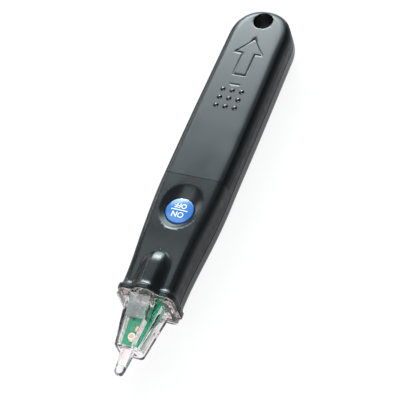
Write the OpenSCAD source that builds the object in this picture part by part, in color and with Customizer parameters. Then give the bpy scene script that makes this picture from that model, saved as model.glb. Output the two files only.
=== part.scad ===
// Pen-type voltage detector, lying on its back.
// X is across the pen, Y points to the tail, Z points out of the front face.
// Distances along the pen are counted from the tail end, depths are counted down from the front face.

/* [Battery] */
// Diameter of the cell
cell_d = 10.5; // [10.1:0.05:10.9]
// Length of the cell with its button end
cell_len = 44.5; // [43:0.5:46]
// Diameter of the cell's button end
cell_button_d = 3.8; // [3:0.1:4.5]
// Height of the cell's button end
cell_button_h = 0.9; // [0.6:0.1:1.2]
// Play between the cell and the walls round it
cell_gap = 0.15; // [0.1:0.05:0.3]
// Fitted length of the contact spring
spring_len = 5; // [4.4:0.1:6]
// Outer diameter of the spring at its plate
spring_d = 7; // [6:0.1:8]
// Outer diameter of the spring at the cell
spring_tip_d = 5; // [4.2:0.1:6]
// Diameter of the spring wire
spring_wire = 0.5; // [0.4:0.05:0.55]
// Curls of the spring
spring_curls = 4; // [3:1:4]
// Thickness of the contact plates
plate_t = 0.4; // [0.3:0.05:0.5]

/* [Housing] */
// Wall of the shells and the cover
wall = 1.1; // [0.9:0.05:1.3]
// Width at the tail
tail_w = 19.3; // [18.8:0.1:20]
// Width at the widest place
belly_w = 20.2; // [19.6:0.1:21]
// Width of the neck behind the rim
neck_w = 16.8; // [16.4:0.1:17.6]
// Depth of the neck, measured from the front face
neck_depth = 13.9; // [13.4:0.1:14.6]
// Length of the rounded tail end
tail_round = 10.4; // [9:0.2:12]
// Radius of the front edges
front_round = 2.6; // [2:0.1:3]
// Radius of the back edges
back_round = 3; // [2.2:0.1:3.4]
// Length of the shells from the cover's line to the rim
head_len = 38.8; // [37:0.2:42]
// Fall of the front face towards the rim
front_fall = 1.4; // [0.8:0.1:1.8]
// Depth of the line between the shells at the tail
part_tail = 7.1; // [6.6:0.1:7.4]
// Depth of the line between the shells at the neck
part_neck = 8.2; // [7.8:0.1:8.6]
// Gap along the lines between the mouldings
seam = 0.15; // [0.1:0.05:0.2]

/* [Rim] */
// How far the rim stands out
rim_out = 0.6; // [0.3:0.1:0.8]
// Length of the hollow flare before the rim
flare_len = 2; // [1.4:0.1:2.6]
// Length of the rim's straight band
rim_band = 1.2; // [0.8:0.1:1.6]

/* [Bulge] */
// Length of the arched bulge, back from the rim
bulge_len = 13.4; // [12:0.2:15]
// Length of the bulge's rounded start
bulge_arch = 4.8; // [4:0.2:6]
// Width of the bulge at its foot
bulge_w = 9.8; // [9:0.1:10.4]
// Height of the bulge over the front face
bulge_up = 0.9; // [0.5:0.1:1.2]

/* [Strap hole] */
// Diameter of the strap hole
strap_d = 6.2; // [5:0.1:6.4]
// Material between the strap hole and the tail end
strap_land = 1.65; // [1.6:0.05:2.2]
// Wall of the tube round the strap hole
strap_wall = 0.9; // [0.7:0.05:1.2]

/* [Battery cover] */
// Depth of the cover's side edge
cover_side = 3.75; // [3.5:0.05:4]
// Distance of the nub field from the cover's line
nubs_back = 28.6; // [26:0.2:30]
// Distance between the nubs
nub_pitch = 3; // [2.6:0.1:3.2]
// Diameter of a nub
nub_d = 1.75; // [1.4:0.05:2]
// Height of a nub
nub_h = 0.45; // [0.3:0.05:0.6]
// Length of the thumb mark beside the nubs
mark_len = 3.1; // [2.4:0.1:4]
// Width and depth of the thumb mark
mark_cut = 0.3; // [0.2:0.05:0.4]

/* [Button] */
// Distance of the dish from the cover's line
dish_from_line = 10.2; // [10:0.1:10.8]
// Width of the dish
dish_w = 12.6; // [12:0.1:13.2]
// Length of the dish
dish_len = 16; // [15:0.2:17]
// Depth of the dish
dish_depth = 1.7; // [1.4:0.05:1.8]
// How far the button sits off the dish's middle
button_off = 1.5; // [1:0.1:2]
// Diameter of the button
button_d = 8.4; // [7.6:0.1:8.8]
// Depth of the button's edge below the front face
button_deep = 0.45; // [0.3:0.05:0.7]
// Crown of the button
button_crown = 0.3; // [0.2:0.05:0.4]
// Play round the button
button_gap = 0.2; // [0.15:0.05:0.3]
// Travel of the button
button_travel = 0.5; // [0.3:0.05:0.55]

/* [Board] */
// Depth of the board's front side
board_deep = 6.6; // [6.4:0.05:6.8]
// Thickness of the board
board_t = 1; // [0.8:0.1:1.2]
// Play between the board and the walls
board_gap = 0.35; // [0.25:0.05:0.5]
// Side of the switch case
switch_w = 6.2; // [5.6:0.1:6.6]
// Height of the switch case
switch_h = 1.7; // [1.5:0.05:1.8]
// Diameter of the switch plunger
plunger_d = 3.2; // [2.6:0.1:3.6]
// Diameter of the buzzer
buzzer_d = 8.6; // [7.6:0.1:8.8]
// Height of the buzzer
buzzer_h = 3; // [2.4:0.1:3.2]
// Diameter of the light
light_d = 5; // [4.6:0.1:5]
// Length of the light
light_len = 8.2; // [7.8:0.1:8.6]

/* [Head] */
// Thickness of the head's flange
flange_t = 1.9; // [1.6:0.1:2.2]
// Length of the head's body
head_body_len = 14.3; // [13.4:0.1:15.4]
// Width of the body at the flange
head_w = 12.3; // [12:0.1:12.8]
// Width of the body at its shoulder
head_end_w = 7.8; // [7.4:0.1:8.4]
// Wall of the clear head
head_wall = 0.95; // [0.8:0.05:1.1]
// Length of the nose
nose_len = 7.5; // [6.6:0.1:8.4]
// Width of the nose at its root
nose_w = 3.7; // [3.4:0.1:4]
// Width of the nose at its end
nose_end_w = 2.6; // [2.4:0.1:2.8]

/* [Hidden] */

// Overrun of every cut past the face that it goes through
over = 0.6;
// Depth by which joined pieces of one moulding run into each other
bite = 0.2;
// Play of pieces that only lie beside each other
play = 0.15;

// Stations along the pen
hole_at = strap_land + strap_d/2;
bay_wall = 1;
bay_from = hole_at + strap_d/2 + strap_wall + play + bay_wall;
dimple_h = 0.5;
cell_from = bay_from + plate_t + spring_len;
cell_to = cell_from + cell_len;
bay_to = cell_to + dimple_h + plate_t;
latch_len = 1.5;
cover_len = bay_to + bay_wall + latch_len;
head_from = cover_len + seam;
shell_len = head_from + head_len;
flange_from = shell_len + seam/2;
body_from = flange_from + flange_t;
shoulder_at = body_from + head_body_len;
total_len = shoulder_at + nose_len;
belly_share = 0.8;
taper_from_share = 1.02;
taper_to_share = 0.96;
belly_at = cover_len*belly_share;
taper_from = cover_len*taper_from_share;
taper_to = shell_len*taper_to_share;
body_depth = 2*wall + 2*cell_gap + cell_d;
flare_from = shell_len - rim_band - flare_len;
dish_at = cover_len + dish_from_line;
button_at = dish_at + button_off;
bulge_from = shell_len - bulge_len;
nubs_at = cover_len - nubs_back;
mark_step_share = 1.3;
mark_at = nubs_at - nub_pitch - nub_d*mark_step_share;

// Depths below the front face
face_z = neck_depth + rim_out;
cell_deep = wall + cell_gap + cell_d/2;
board_back = board_deep + board_t;
board_mid = board_deep + board_t/2;

function py(d) = total_len/2 - d;
function pz(h) = face_z - h;
function ease(t) = let (u = min(1, max(0, t))) u*u*(3 - 2*u);
function span(d, a, b) = ease((d - a)/(b - a));

module spot(d, h, x = 0) { translate([x, py(d), pz(h)]) children(); }
module run(d0, d1) {
    translate([0, py(d0), 0]) rotate([90, 0, 0]) linear_extrude(height = d1 - d0) children();
}
module rise(h0, h1) {
    translate([0, 0, pz(h1)]) linear_extrude(height = h1 - h0) children();
}
module block(d0, d1, h0, h1, x0, x1) {
    translate([x0, py(d1), pz(h1)]) cube([x1 - x0, d1 - d0, h1 - h0]);
}

// Outline of the housing
tail_power_share = 2.2;
tail_steps = 9;
flare_steps = 4;
front_steps = 5;
back_steps = 4;
arch_steps = 5;
bell_steps = 12;
bell_flat_share = 0.32;
bell_crown_share = 0.08;
function body_half(d) = tail_w/2 + (belly_w - tail_w)/2*span(d, 0, belly_at)
    + (neck_w - belly_w)/2*span(d, taper_from, taper_to);
function flare(d) = d <= flare_from ? 0
    : rim_out*(1 - sqrt(1 - pow(min(1, (d - flare_from)/flare_len), 2)));
function front_deep(d) = front_fall*span(d, dish_at + dish_len/2, shell_len) - flare(d);
back_rise_share = 0.9;
part_rise_share = 0.85;
neck_share = 1.3;
function back_deep(d) = body_depth + flare(d)
    + (neck_depth - body_depth)*span(d, cover_len*back_rise_share, cover_len*neck_share);
function part_deep(d) = part_tail
    + (part_neck - part_tail)*span(d, cover_len*part_rise_share, cover_len*neck_share);

// Stations of the outline from the rim to the tail: distance, half width and the inward direction
body_stations = concat(
    [shell_len],
    [for (k = [flare_steps:-1:0]) flare_from + flare_len*sin(90*k/flare_steps)],
    [(flare_from + bulge_from + bulge_arch)/2],
    [for (k = [arch_steps:-1:0]) bulge_from + bulge_arch*(1 - cos(90*k/arch_steps))],
    [for (k = [1:3]) bulge_from + (taper_from - bulge_from)*k/3],
    [for (k = [1:4]) taper_from + (tail_round - taper_from)*k/4]);
function tail_x_share(a) = pow(sin(a), 2/tail_power_share);
function tail_d(a) = tail_round*(1 - pow(cos(a), 2/tail_power_share));
function tail_nx(a) = pow(tail_x_share(a), tail_power_share - 1)/body_half(tail_d(a));
function tail_nd(a) = pow(1 - tail_d(a)/tail_round, tail_power_share - 1)/tail_round;
right_stations = concat(
    [for (d = body_stations) [d, body_half(d) + flare(d), -1, 0]],
    [for (k = [tail_steps - 1:-1:1]) let (a = 90*k/tail_steps, n = norm([tail_nx(a), tail_nd(a)]))
        [tail_d(a), body_half(tail_d(a))*tail_x_share(a), -tail_nx(a)/n, tail_nd(a)/n]]);
outline = concat(right_stations, [[0, 0, 0, 1]],
    [for (k = [len(right_stations) - 1:-1:0]) let (s = right_stations[k]) [s[0], -s[1], -s[2], s[3]]]);

// Arched bulge on the front of the head end
arch_from = flare_steps + arch_steps + 3;
function arch_share(d) = sqrt(1 - pow(max(0, min(1, (bulge_from + bulge_arch - d)/bulge_arch)), 2));
function bell_share(t) = (1 - bell_crown_share*t*t)
    *(1 - ease((abs(t) - bell_flat_share)/(1 - bell_flat_share)));
function bell_up(d) = (bulge_up + front_deep(d) + flare(d))*arch_share(d);
bell_least_share = 0.05;
function bell(d, inset, lift) = let (half = (bulge_w/2 - inset)*max(arch_share(d), bell_least_share))
    [for (k = [0:bell_steps]) let (t = 1 - 2*k/bell_steps)
        [half*t, front_deep(d) + lift - bell_up(d)*bell_share(t)]];

// Layers of a rounded slab: inset and depth, from the front or up from the back
function front_layers(inset, r) = [for (k = [0:front_steps]) let (a = 90*(1 - k/front_steps))
    [inset + r*(1 - cos(a)), inset + r*(1 - sin(a))]];
function back_layers(inset, r) = [for (k = [0:back_steps]) let (a = 90*k/back_steps)
    [inset + r*(1 - cos(a)), inset + r*(1 - sin(a))]];

// Rounded slab inside the housing's outline, drawn in by inset and carried past the rim by past
module slab(inset, past, arched = false) {
    fronts = front_layers(inset, max(front_round - inset, bite));
    backs = back_layers(inset, max(back_round - inset, bite));
    n = len(outline);
    m = (n - 1)/2;
    layers = len(fronts) + len(backs);
    function carried(i) = i == 0 || i == n - 1 ? past : 0;
    function spot_at(s, i, e, h) = [s[1] + e*s[2], py(s[0] + e*s[3] + carried(i)), pz(h)];
    points = concat(
        [for (l = fronts) for (i = [0:n - 1])
            spot_at(outline[i], i, l[0], front_deep(outline[i][0]) + l[1])],
        [for (l = backs) for (i = [0:n - 1])
            spot_at(outline[i], i, l[0], back_deep(outline[i][0]) - l[1])],
        [for (i = [0:arched ? arch_from : -1]) for (p = bell(outline[i][0], inset, inset))
            [p[0], py(outline[i][0] + carried(i)), pz(p[1])]]);
    sides = [for (j = [0:layers - 2]) for (i = [0:n - (arched && j == 0 ? 2 : 1)])
        let (k = (i + 1)%n) for (f = [0, 1])
        f == 0 ? [j*n + i, j*n + k, (j + 1)*n + k] : [j*n + i, (j + 1)*n + k, (j + 1)*n + i]];
    top = [for (i = [arched ? arch_from + 1 : 0:m - 1])
        i == m - 1 ? [m + 1, m, m - 1] : [n - 1 - i, n - 2 - i, i + 1, i]];
    foot = (layers - 1)*n;
    w = bell_steps + 1;
    function over_at(i) = concat([i], [for (k = [0:bell_steps]) layers*n + i*w + k], [n - 1 - i]);
    arch = [for (i = [0:arch_from - 1]) let (a = over_at(i), b = over_at(i + 1))
        for (k = [0:w]) for (f = [0, 1])
        f == 0 ? [a[k + 1], b[k + 1], b[k]] : [a[k + 1], b[k], a[k]]];
    start = concat([n - 2 - arch_from, arch_from + 1], over_at(arch_from));
    rim = over_at(0);
    end = concat([[2*n - 1, n - 1, rim[w], rim[1], 0, n]],
        [for (k = [1:w/2 - 1]) [rim[w + 1 - k], rim[w - k], rim[k + 1], rim[k]]],
        [[rim[w/2 + 1.5], rim[w/2 + 0.5], rim[w/2 - 0.5]]]);
    bottom = [for (i = [0:m - 1]) i == m - 1 ? [foot + m - 1, foot + m, foot + m + 1]
        : [foot + i, foot + i + 1, foot + n - 2 - i, foot + n - 1 - i]];
    polyhedron(points, concat(sides, top, bottom, arched ? concat(arch, [start], end) : []));
}

// Solid through rings of equal count, each run from the front right round by the left
module loft(rings) {
    n = len(rings[0]);
    last = len(rings) - 1;
    points = [for (r = rings) for (p = r) p];
    ends = [[for (i = [0:n - 1]) i], [for (i = [n - 1:-1:0]) last*n + i]];
    sides = [for (j = [0:last - 1]) for (i = [0:n - 1]) for (f = [0, 1]) let (k = (i + 1)%n)
        f == 0 ? [j*n + k, j*n + i, (j + 1)*n + i] : [j*n + k, (j + 1)*n + i, (j + 1)*n + k]];
    polyhedron(points, concat(ends, sides));
}
function ring_at(d, flat) = [for (p = flat) [p[0], py(d), pz(p[1])]];

// Flat ring of a rounded box: half width, front and back depth, corner radius
corner_steps = 4;
function corner(cx, ch, r, a) = [for (k = [0:corner_steps]) let (t = a + 90*k/corner_steps)
    [cx + r*cos(t), ch - r*sin(t)]];
function box_ring(half, h0, h1, r) = concat(
    corner(half - r, h0 + r, r, 0), corner(r - half, h0 + r, r, 90),
    corner(r - half, h1 - r, r, 180), corner(half - r, h1 - r, r, 270));

// Outline of the housing's end, with the bulge, drawn in by inset
function end_ring(d, inset) = let (half = body_half(d) + flare(d) - inset, top = front_deep(d) + inset,
    back = back_deep(d) - inset, rf = front_round - inset, rb = back_round - inset) concat(
    corner(half - rb, back - rb, rb, 270), corner(half - rf, top + rf, rf, 0), bell(d, inset/2, inset),
    corner(rf - half, top + rf, rf, 90), corner(rb - half, back - rb, rb, 180));

// Side view regions that part the mouldings
part_steps = 8;
function part_line(from, gap) = [for (k = [0:part_steps])
    let (d = from + (shell_len + over - from)*k/part_steps) [py(d), pz(part_deep(d) + gap)]];
module side_region(points) {
    translate([-belly_w, 0, 0]) rotate([90, 0, 90]) linear_extrude(height = 2*belly_w) polygon(points);
}
module below_line(gap) {
    side_region(concat(part_line(-over, gap), [[py(shell_len + over), -over], [py(-over), -over]]));
}
module above_line(gap) {
    side_region(concat(part_line(-over, gap), [[py(shell_len + over), pz(-bulge_up - over - rim_out)],
        [py(-over), pz(-bulge_up - over - rim_out)]]));
}
module cover_region(gap) {
    block(-over, cover_len + gap, -over - nub_h, cover_side + gap, -belly_w, belly_w);
}

// Front half of the housing
dish_curve = (pow(dish_w/2, 2) + pow(dish_depth, 2))/(2*dish_depth);
module dish(grow) {
    spot(dish_at, dish_depth - dish_curve) scale([1, dish_len/dish_w, 1])
        sphere(r = dish_curve + grow, $fn = 96);
}
guide_len = 0.5;
guide_deep = dish_depth + wall + guide_len;
button_hole_d = button_d + 2*button_gap;
screw_d = 2;
screw_head_d = 3.6;
screw_head_h = 1.3;
boss_d = 4;
screw_tail_at = cover_len + latch_len + boss_d/2 - play;
screw_neck_at = bulge_from + boss_d/2 + bite;
boss_meet = board_back + play;
rail_in = belly_w/2 - 2*wall;
rail_lip = 0.6;
rail_t = 0.6;
rail_start = 3;
rail_end = 4;
rail_from = bay_from + rail_start;
rail_to = cover_len - rail_end;
hook_t = 0.6;
hook_play = 0.3;
lip_deep = cover_side - rail_t - play - hook_t - play - rail_t;
module rail_pair() {
    for (s = [-1, 1]) scale([s, 1, 1]) run(rail_from, rail_to) polygon([
        [rail_in, pz(cover_side + rail_t)], [belly_w/2 - wall + bite, pz(cover_side + rail_t)],
        [belly_w/2 - wall + bite, pz(cover_side + play)], [rail_in, pz(cover_side + play)],
        [rail_in, pz(lip_deep)], [rail_in - rail_lip - rail_t, pz(lip_deep)],
        [rail_in - rail_lip - rail_t, pz(lip_deep + rail_t)], [rail_in - rail_t, pz(lip_deep + rail_t)],
        [rail_in - rail_t, pz(cover_side + rail_t)]]);
}
module front_shell() {
    color([0.13, 0.14, 0.15]) difference() {
        union() {
            intersection() {
                difference() {
                    slab(0, 0, true);
                    slab(wall, over, true);
                }
                above_line(0);
            }
            intersection() {
                dish(wall);
                block(head_from, dish_at + dish_len/2, wall - bite, dish_depth + wall + over,
                    -dish_w/2, dish_w/2);
            }
            spot(button_at, guide_deep)
                cylinder(d = button_hole_d + 2*wall, h = guide_deep - wall, $fn = 64);
            for (b = [[screw_tail_at, wall - bite], [screw_neck_at, wall - bulge_up - bite]])
                spot(b[0], boss_meet) cylinder(d = boss_d, h = boss_meet - b[1], $fn = 48);
        }
        cover_region(seam);
        dish(0);
        spot(button_at, guide_deep + over) cylinder(d = button_hole_d, h = guide_deep + 2*over, $fn = 96);
        for (d = [screw_tail_at, screw_neck_at])
            spot(d, boss_meet + over) cylinder(d = screw_d, h = boss_meet - 2*wall + over, $fn = 32);
    }
    color([0.13, 0.14, 0.15]) rail_pair();
}

// Back half of the housing, with the strap tube and the battery bay
rib_t = 0.6;
rib_in = cell_d/2 + cell_gap + play;
rib_top = 5.5;
strip_w = 0.6;
strip_in = rib_in + rib_t + play;
floor_deep = body_depth - wall;
rib_start = 1.2;
ledge_in = neck_w/2 - wall - board_gap - rib_t + bite;
tab_w = 1.4;
module strap_bore(h) { spot(hole_at, h) cylinder(d = strap_d, h = h + over, $fn = 96); }
module rear_shell() {
    color([0.13, 0.14, 0.15]) difference() {
        union() {
            intersection() {
                difference() {
                    slab(0, 0);
                    slab(wall, over);
                }
                below_line(seam);
            }
            for (x = [-rib_in - rib_t, rib_in])
                block(bay_from + rib_start, bay_to + bay_wall, rib_top, floor_deep + bite, x, x + rib_t);
            block(bay_to, bay_to + bay_wall, rib_top, floor_deep + bite, -rib_in - bite, rib_in + bite);
            block(bay_from - bay_wall, bay_from, rib_top, floor_deep + bite,
                -rib_in + rib_t, rib_in - rib_t);
            for (d = [screw_tail_at, screw_neck_at]) {
                seat = back_deep(d) - wall + bite;
                spot(d, seat) cylinder(d = boss_d, h = seat - boss_meet - play, $fn = 48);
                spot(d, seat)
                    cylinder(d = screw_head_d + 2*wall, h = screw_head_h + 2*play + bite, $fn = 48);
            }
            for (x = [-ledge_in - rib_t, ledge_in])
                block(button_at - switch_w/2, bulge_from, board_back, back_deep(button_at) - wall + bite,
                    x, x + rib_t);
            for (t = [[wall + play, body_depth], [wall/2, body_depth - part_tail - seam - 2*play]])
                intersection() {
                    slab(t[0], 0);
                    spot(hole_at, body_depth)
                        cylinder(d = strap_d + 2*strap_wall, h = t[1], $fn = 96);
                }
        }
        strap_bore(body_depth + over);
        block(bay_to - over, bay_to + bay_wall + over, board_back - play, board_back + plate_t + play,
            cell_button_d - play, cell_button_d + tab_w + play);
        for (d = [screw_tail_at, screw_neck_at]) {
            spot(d, neck_depth + over) cylinder(d = screw_d + 2*play, h = neck_depth, $fn = 32);
            spot(d, back_deep(d) + over)
                cylinder(d = screw_head_d + 2*play, h = screw_head_h + play + over, $fn = 48);
        }
    }
}

// Sliding cover of the battery bay
module nub() {
    r = (pow(nub_d/2, 2) + pow(nub_h, 2))/(2*nub_h);
    rotate_extrude($fn = 32) intersection() {
        translate([0, nub_h - r]) circle(r = r, $fn = 96);
        translate([0, -bite]) square([nub_d/2, nub_h + bite]);
    }
}
module hook_pair() {
    for (s = [-1, 1]) scale([s, 1, 1]) run(rail_from, rail_to) polygon([
        [rail_in - rail_lip - rail_t - hook_play - hook_t, pz(wall - bite)],
        [rail_in - rail_lip - rail_t - hook_play, pz(wall - bite)],
        [rail_in - rail_lip - rail_t - hook_play, pz(lip_deep + rail_t + play)],
        [rail_in - rail_t - hook_play, pz(lip_deep + rail_t + play)],
        [rail_in - rail_t - hook_play, pz(lip_deep + rail_t + play + hook_t)],
        [rail_in - rail_lip - rail_t - hook_play - hook_t, pz(lip_deep + rail_t + play + hook_t)]]);
}
latch_in = strap_d/2 + strap_wall + play;
latch_w = 2.2;
latch_t = 0.7;
module battery_cover() {
    color([0.16, 0.17, 0.18]) {
        difference() {
            intersection() {
                difference() {
                    slab(0, 0);
                    slab(wall, over);
                }
                cover_region(0);
            }
            strap_bore(body_depth);
            block(mark_at - mark_cut/2, mark_at + mark_cut/2, -over, mark_cut, -mark_len/2, mark_len/2);
        }
        for (i = [-1:1]) for (j = [-1:1]) spot(nubs_at + j*nub_pitch, 0, i*nub_pitch) nub();
        hook_pair();
        for (s = [-1, 1]) scale([s, 1, 1]) {
            block(cover_len - 2*latch_len, cover_len + latch_len - play,
                wall + play, wall + play + latch_t, latch_in, latch_in + latch_w);
            block(cover_len - 2*latch_len, cover_len - latch_len, wall - bite, wall + play + bite,
                latch_in, latch_in + latch_w);
        }
    }
}

// Clear head with flange, light block, window trough and nose
flange_in_share = 0.7;
flange_in = rim_out*flange_in_share;
chamfer = 0.3;
spigot_len = 3.4;
spigot_wall = 0.8;
head_front = 3.6;
head_end_front = 4.5;
head_back = 11.3;
head_round = 1.1;
light_block_len = 4.4;
block_to = body_from + light_block_len;
block_fall = 1.4;
rib_top_w = 6;
rib_foot_w = 7.7;
trough_w = 4.5;
trough_end_w = 3.6;
trough_floor = 4.2;
nose_deep = board_mid + 0.3*board_t;
light_deep = board_deep - light_d/2 - play;
function head_half(d) = head_w/2 + (head_end_w - head_w)/2*(d - body_from)/head_body_len;
function head_top(d) = head_front + (head_end_front - head_front)*(d - body_from)/head_body_len;
rib_shares = [1, 0.96, 0.95, 0.93, 0.75];
function rib_ring(top, share) = let (w = rib_top_w/2*share, f = rib_foot_w/2*share)
    [[w, top], [-w, top], [-f, head_front + wall], [f, head_front + wall]];

// Nose: share of its length and of its width at each ring
nose_shares = [[0, 1], [0.35, 1], [0.65, 1], [0.84, 0.98], [0.93, 0.88], [0.98, 0.68], [1, 0.42]];
nose_round_share = 0.7;
strip_share = 0.6;
module head_cavity() {
    loft([for (d = [flange_from - spigot_len - over, body_from, shoulder_at - head_wall])
        let (e = max(d, body_from))
        ring_at(d, box_ring(head_half(e) - head_wall, head_top(e) + head_wall,
            head_back - head_wall, head_round - head_wall/2))]);
}
module tip_lens() {
    color([0.85, 0.88, 0.9, 0.4]) difference() {
        union() {
            loft([ring_at(flange_from, end_ring(shell_len, flange_in + chamfer)),
                ring_at(flange_from + chamfer, end_ring(shell_len, flange_in)),
                ring_at(body_from - chamfer, end_ring(shell_len, flange_in)),
                ring_at(body_from, end_ring(shell_len, flange_in + chamfer/2))]);
            loft([for (d = [flange_from - spigot_len, flange_from + bite])
                ring_at(d, box_ring(neck_w/2 - wall - play, wall + front_fall + play,
                    neck_depth - wall - play, back_round - wall))]);
            loft([for (d = concat([body_from - bite], [for (k = [3:-1:0]) shoulder_at - head_round*k/3]))
                let (e = head_round*pow(max(0, 1 - (shoulder_at - d)/head_round), 2)/2)
                ring_at(d, box_ring(head_half(d) - e, head_top(d) + e, head_back - e, head_round))]);
            loft([ring_at(body_from - bite, rib_ring(-bulge_up/2, rib_shares[0])),
                ring_at(block_to, rib_ring(block_fall/2, rib_shares[1])),
                ring_at(block_to + chamfer, rib_ring(block_fall, rib_shares[2])),
                ring_at(block_to + block_fall, rib_ring(2*block_fall, rib_shares[3])),
                ring_at(shoulder_at - head_round, rib_ring(head_front, rib_shares[4]))]);
            loft([for (s = nose_shares) let (w = (nose_w + (nose_end_w - nose_w)*s[0])/2*s[1])
                ring_at(shoulder_at - bite + (nose_len + bite)*s[0],
                    box_ring(w, nose_deep - w, nose_deep + w, w*nose_round_share))]);
        }
        head_cavity();
        loft([for (d = [flange_from - spigot_len - over, flange_from + bite])
            ring_at(d, box_ring(neck_w/2 - wall - play - spigot_wall,
                wall + front_fall + play + spigot_wall, neck_depth - wall - play - spigot_wall, wall))]);
        loft([for (d = [block_to + block_fall, shoulder_at + over])
            let (w = (d > shoulder_at ? trough_end_w : trough_w)/2, f = trough_floor - head_front)
            ring_at(d, [[w, -over], [-w, -over], [-w, head_top(d) + f], [w, head_top(d) + f]])]);
        spot(flange_from - spigot_len - over, light_deep) rotate([90, 0, 0])
            cylinder(d = light_d + 2*play, h = spigot_len + flange_t + 2*over, $fn = 64);
        block(shoulder_at - 2*head_wall, shoulder_at + nose_len*strip_share + play,
            board_mid - sensor_t/2 - play, board_mid + sensor_t/2 + play,
            -sensor_w/2 - play, sensor_w/2 + play);
    }
}

// Push button and the switch under it
flange_w = 0.7;
cap_rim = 0.5;
plunger_top = board_deep - switch_h - button_travel - play;
module power_button() {
    cap_r = (pow(button_d/2, 2) + pow(button_crown, 2))/(2*button_crown);
    color([0.2, 0.42, 0.88]) spot(button_at, 0) {
        translate([0, 0, -button_deep]) rotate_extrude($fn = 96) intersection() {
            translate([0, button_crown - cap_r]) circle(r = cap_r, $fn = 200);
            translate([0, -cap_rim]) square([button_d/2, cap_rim + button_crown]);
        }
        translate([0, 0, -guide_deep - play - flange_w])
            cylinder(d = button_d, h = guide_deep + play + flange_w - button_deep - cap_rim + bite/2,
                $fn = 96);
        translate([0, 0, -guide_deep - play - flange_w])
            cylinder(d = button_hole_d + wall, h = flange_w, $fn = 96);
        translate([0, 0, -plunger_top])
            cylinder(d = plunger_d - 2*play, h = plunger_top - guide_deep - play - flange_w/2, $fn = 48);
    }
}
module switch_plunger() {
    color([0.75, 0.3, 0.2]) spot(button_at, board_deep - switch_h + play)
        cylinder(d = plunger_d, h = board_deep - switch_h + play - plunger_top, $fn = 48);
}
module switch_body() {
    well = play + button_travel + play;
    color([0.25, 0.25, 0.27]) difference() {
        block(button_at - switch_w/2, button_at + switch_w/2, board_deep - switch_h, board_deep,
            -switch_w/2, switch_w/2);
        spot(button_at, board_deep - switch_h + well)
            cylinder(d = plunger_d + 2*play, h = well + over, $fn = 48);
    }
}

// Circuit board and what stands on it
board_from = screw_tail_at + boss_d/2 + play;
board_step = flange_from - spigot_len - play;
board_to = shoulder_at - head_wall - board_gap;
board_half = neck_w/2 - wall - board_gap;
board_head_half = head_half(body_from) - head_wall - board_gap;
board_end_half = head_half(board_to) - head_wall - board_gap;
module circuit_board() {
    color([0.05, 0.5, 0.3]) difference() {
        rise(board_deep, board_back) polygon([
            [board_half, py(board_from)], [board_half, py(board_step)],
            [board_head_half, py(board_step)], [board_head_half, py(body_from)],
            [board_end_half, py(board_to)], [-board_end_half, py(board_to)],
            [-board_head_half, py(body_from)], [-board_head_half, py(board_step)],
            [-board_half, py(board_step)], [-board_half, py(board_from)]]);
        spot(screw_neck_at, board_back + over)
            cylinder(d = boss_d + 2*board_gap, h = board_t + 2*over, $fn = 48);
    }
}
chip_w = 3.9;
chip_len = 8.6;
chip_h = 1.5;
chip_at = button_at;
lead_pitch = 1.27;
lead_w = 0.4;
lead_reach = 1;
module control_chip() {
    color([0.1, 0.1, 0.1]) {
        block(chip_at - chip_len/2, chip_at + chip_len/2, board_back + play, board_back + chip_h,
            -chip_w/2, chip_w/2);
        for (s = [-1, 1]) for (k = [-3:3]) scale([s, 1, 1]) translate([0, -k*lead_pitch, 0])
            run(chip_at - lead_w/2, chip_at + lead_w/2) polygon([
                [chip_w/2 - bite, pz(board_back + chip_h/2)],
                [chip_w/2 + lead_reach/2, pz(board_back + chip_h/2)],
                [chip_w/2 + lead_reach/2, pz(board_back + bite)],
                [chip_w/2 + lead_reach, pz(board_back + bite)],
                [chip_w/2 + lead_reach, pz(board_back)],
                [chip_w/2 + lead_reach/2 - bite, pz(board_back)],
                [chip_w/2 + lead_reach/2 - bite, pz(board_back + chip_h/2 - bite)],
                [chip_w/2 - bite, pz(board_back + chip_h/2 - bite)]]);
    }
}
coil_d = 5;
coil_h_share = 0.55;
coil_h = (neck_depth - wall - board_back)*coil_h_share;
coil_flange = 0.5;
part_gap = 1;
coil_at = chip_at + chip_len/2 + coil_d/2 + part_gap;
module boost_coil() {
    color([0.3, 0.2, 0.15]) spot(coil_at, board_back + coil_h) rotate_extrude($fn = 48) polygon([
        [0, 0], [coil_d/2, 0], [coil_d/2, coil_flange], [coil_d/2 - coil_flange, coil_flange],
        [coil_d/2 - coil_flange, coil_h - coil_flange], [coil_d/2, coil_h - coil_flange],
        [coil_d/2, coil_h], [0, coil_h]]);
}
part_len = 1.6;
part_w = 0.8;
part_h = 0.6;
part_pitch = 2.5;
tall_h = 0.9;
row_back = 8.8;
row_pitch = 2.2;
row_x = 2.4;
led_back = 4;
led_at = shoulder_at - led_back;
module chip_capacitors() {
    color([0.75, 0.6, 0.4]) {
        for (k = [-1:1]) block(board_from + play, board_from + play + part_len,
            board_deep - tall_h, board_deep, k*part_pitch - part_w, k*part_pitch + part_w);
        block(led_at - led_d/2 - part_gap - part_len, led_at - led_d/2 - part_gap,
            board_deep - part_h, board_deep, 0, part_w);
    }
}
module chip_resistors() {
    color([0.15, 0.15, 0.15]) {
        for (s = [-1, 1]) for (k = [0:2]) let (d = board_to - row_back - k*row_pitch)
            block(d - part_len, d, board_deep - part_h, board_deep,
                s*row_x - part_w/2, s*row_x + part_w/2);
        block(led_at - part_len/2, led_at + part_len/2, board_deep - part_h, board_deep,
            led_d/2 + play, led_d/2 + play + part_w);
    }
}

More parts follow.
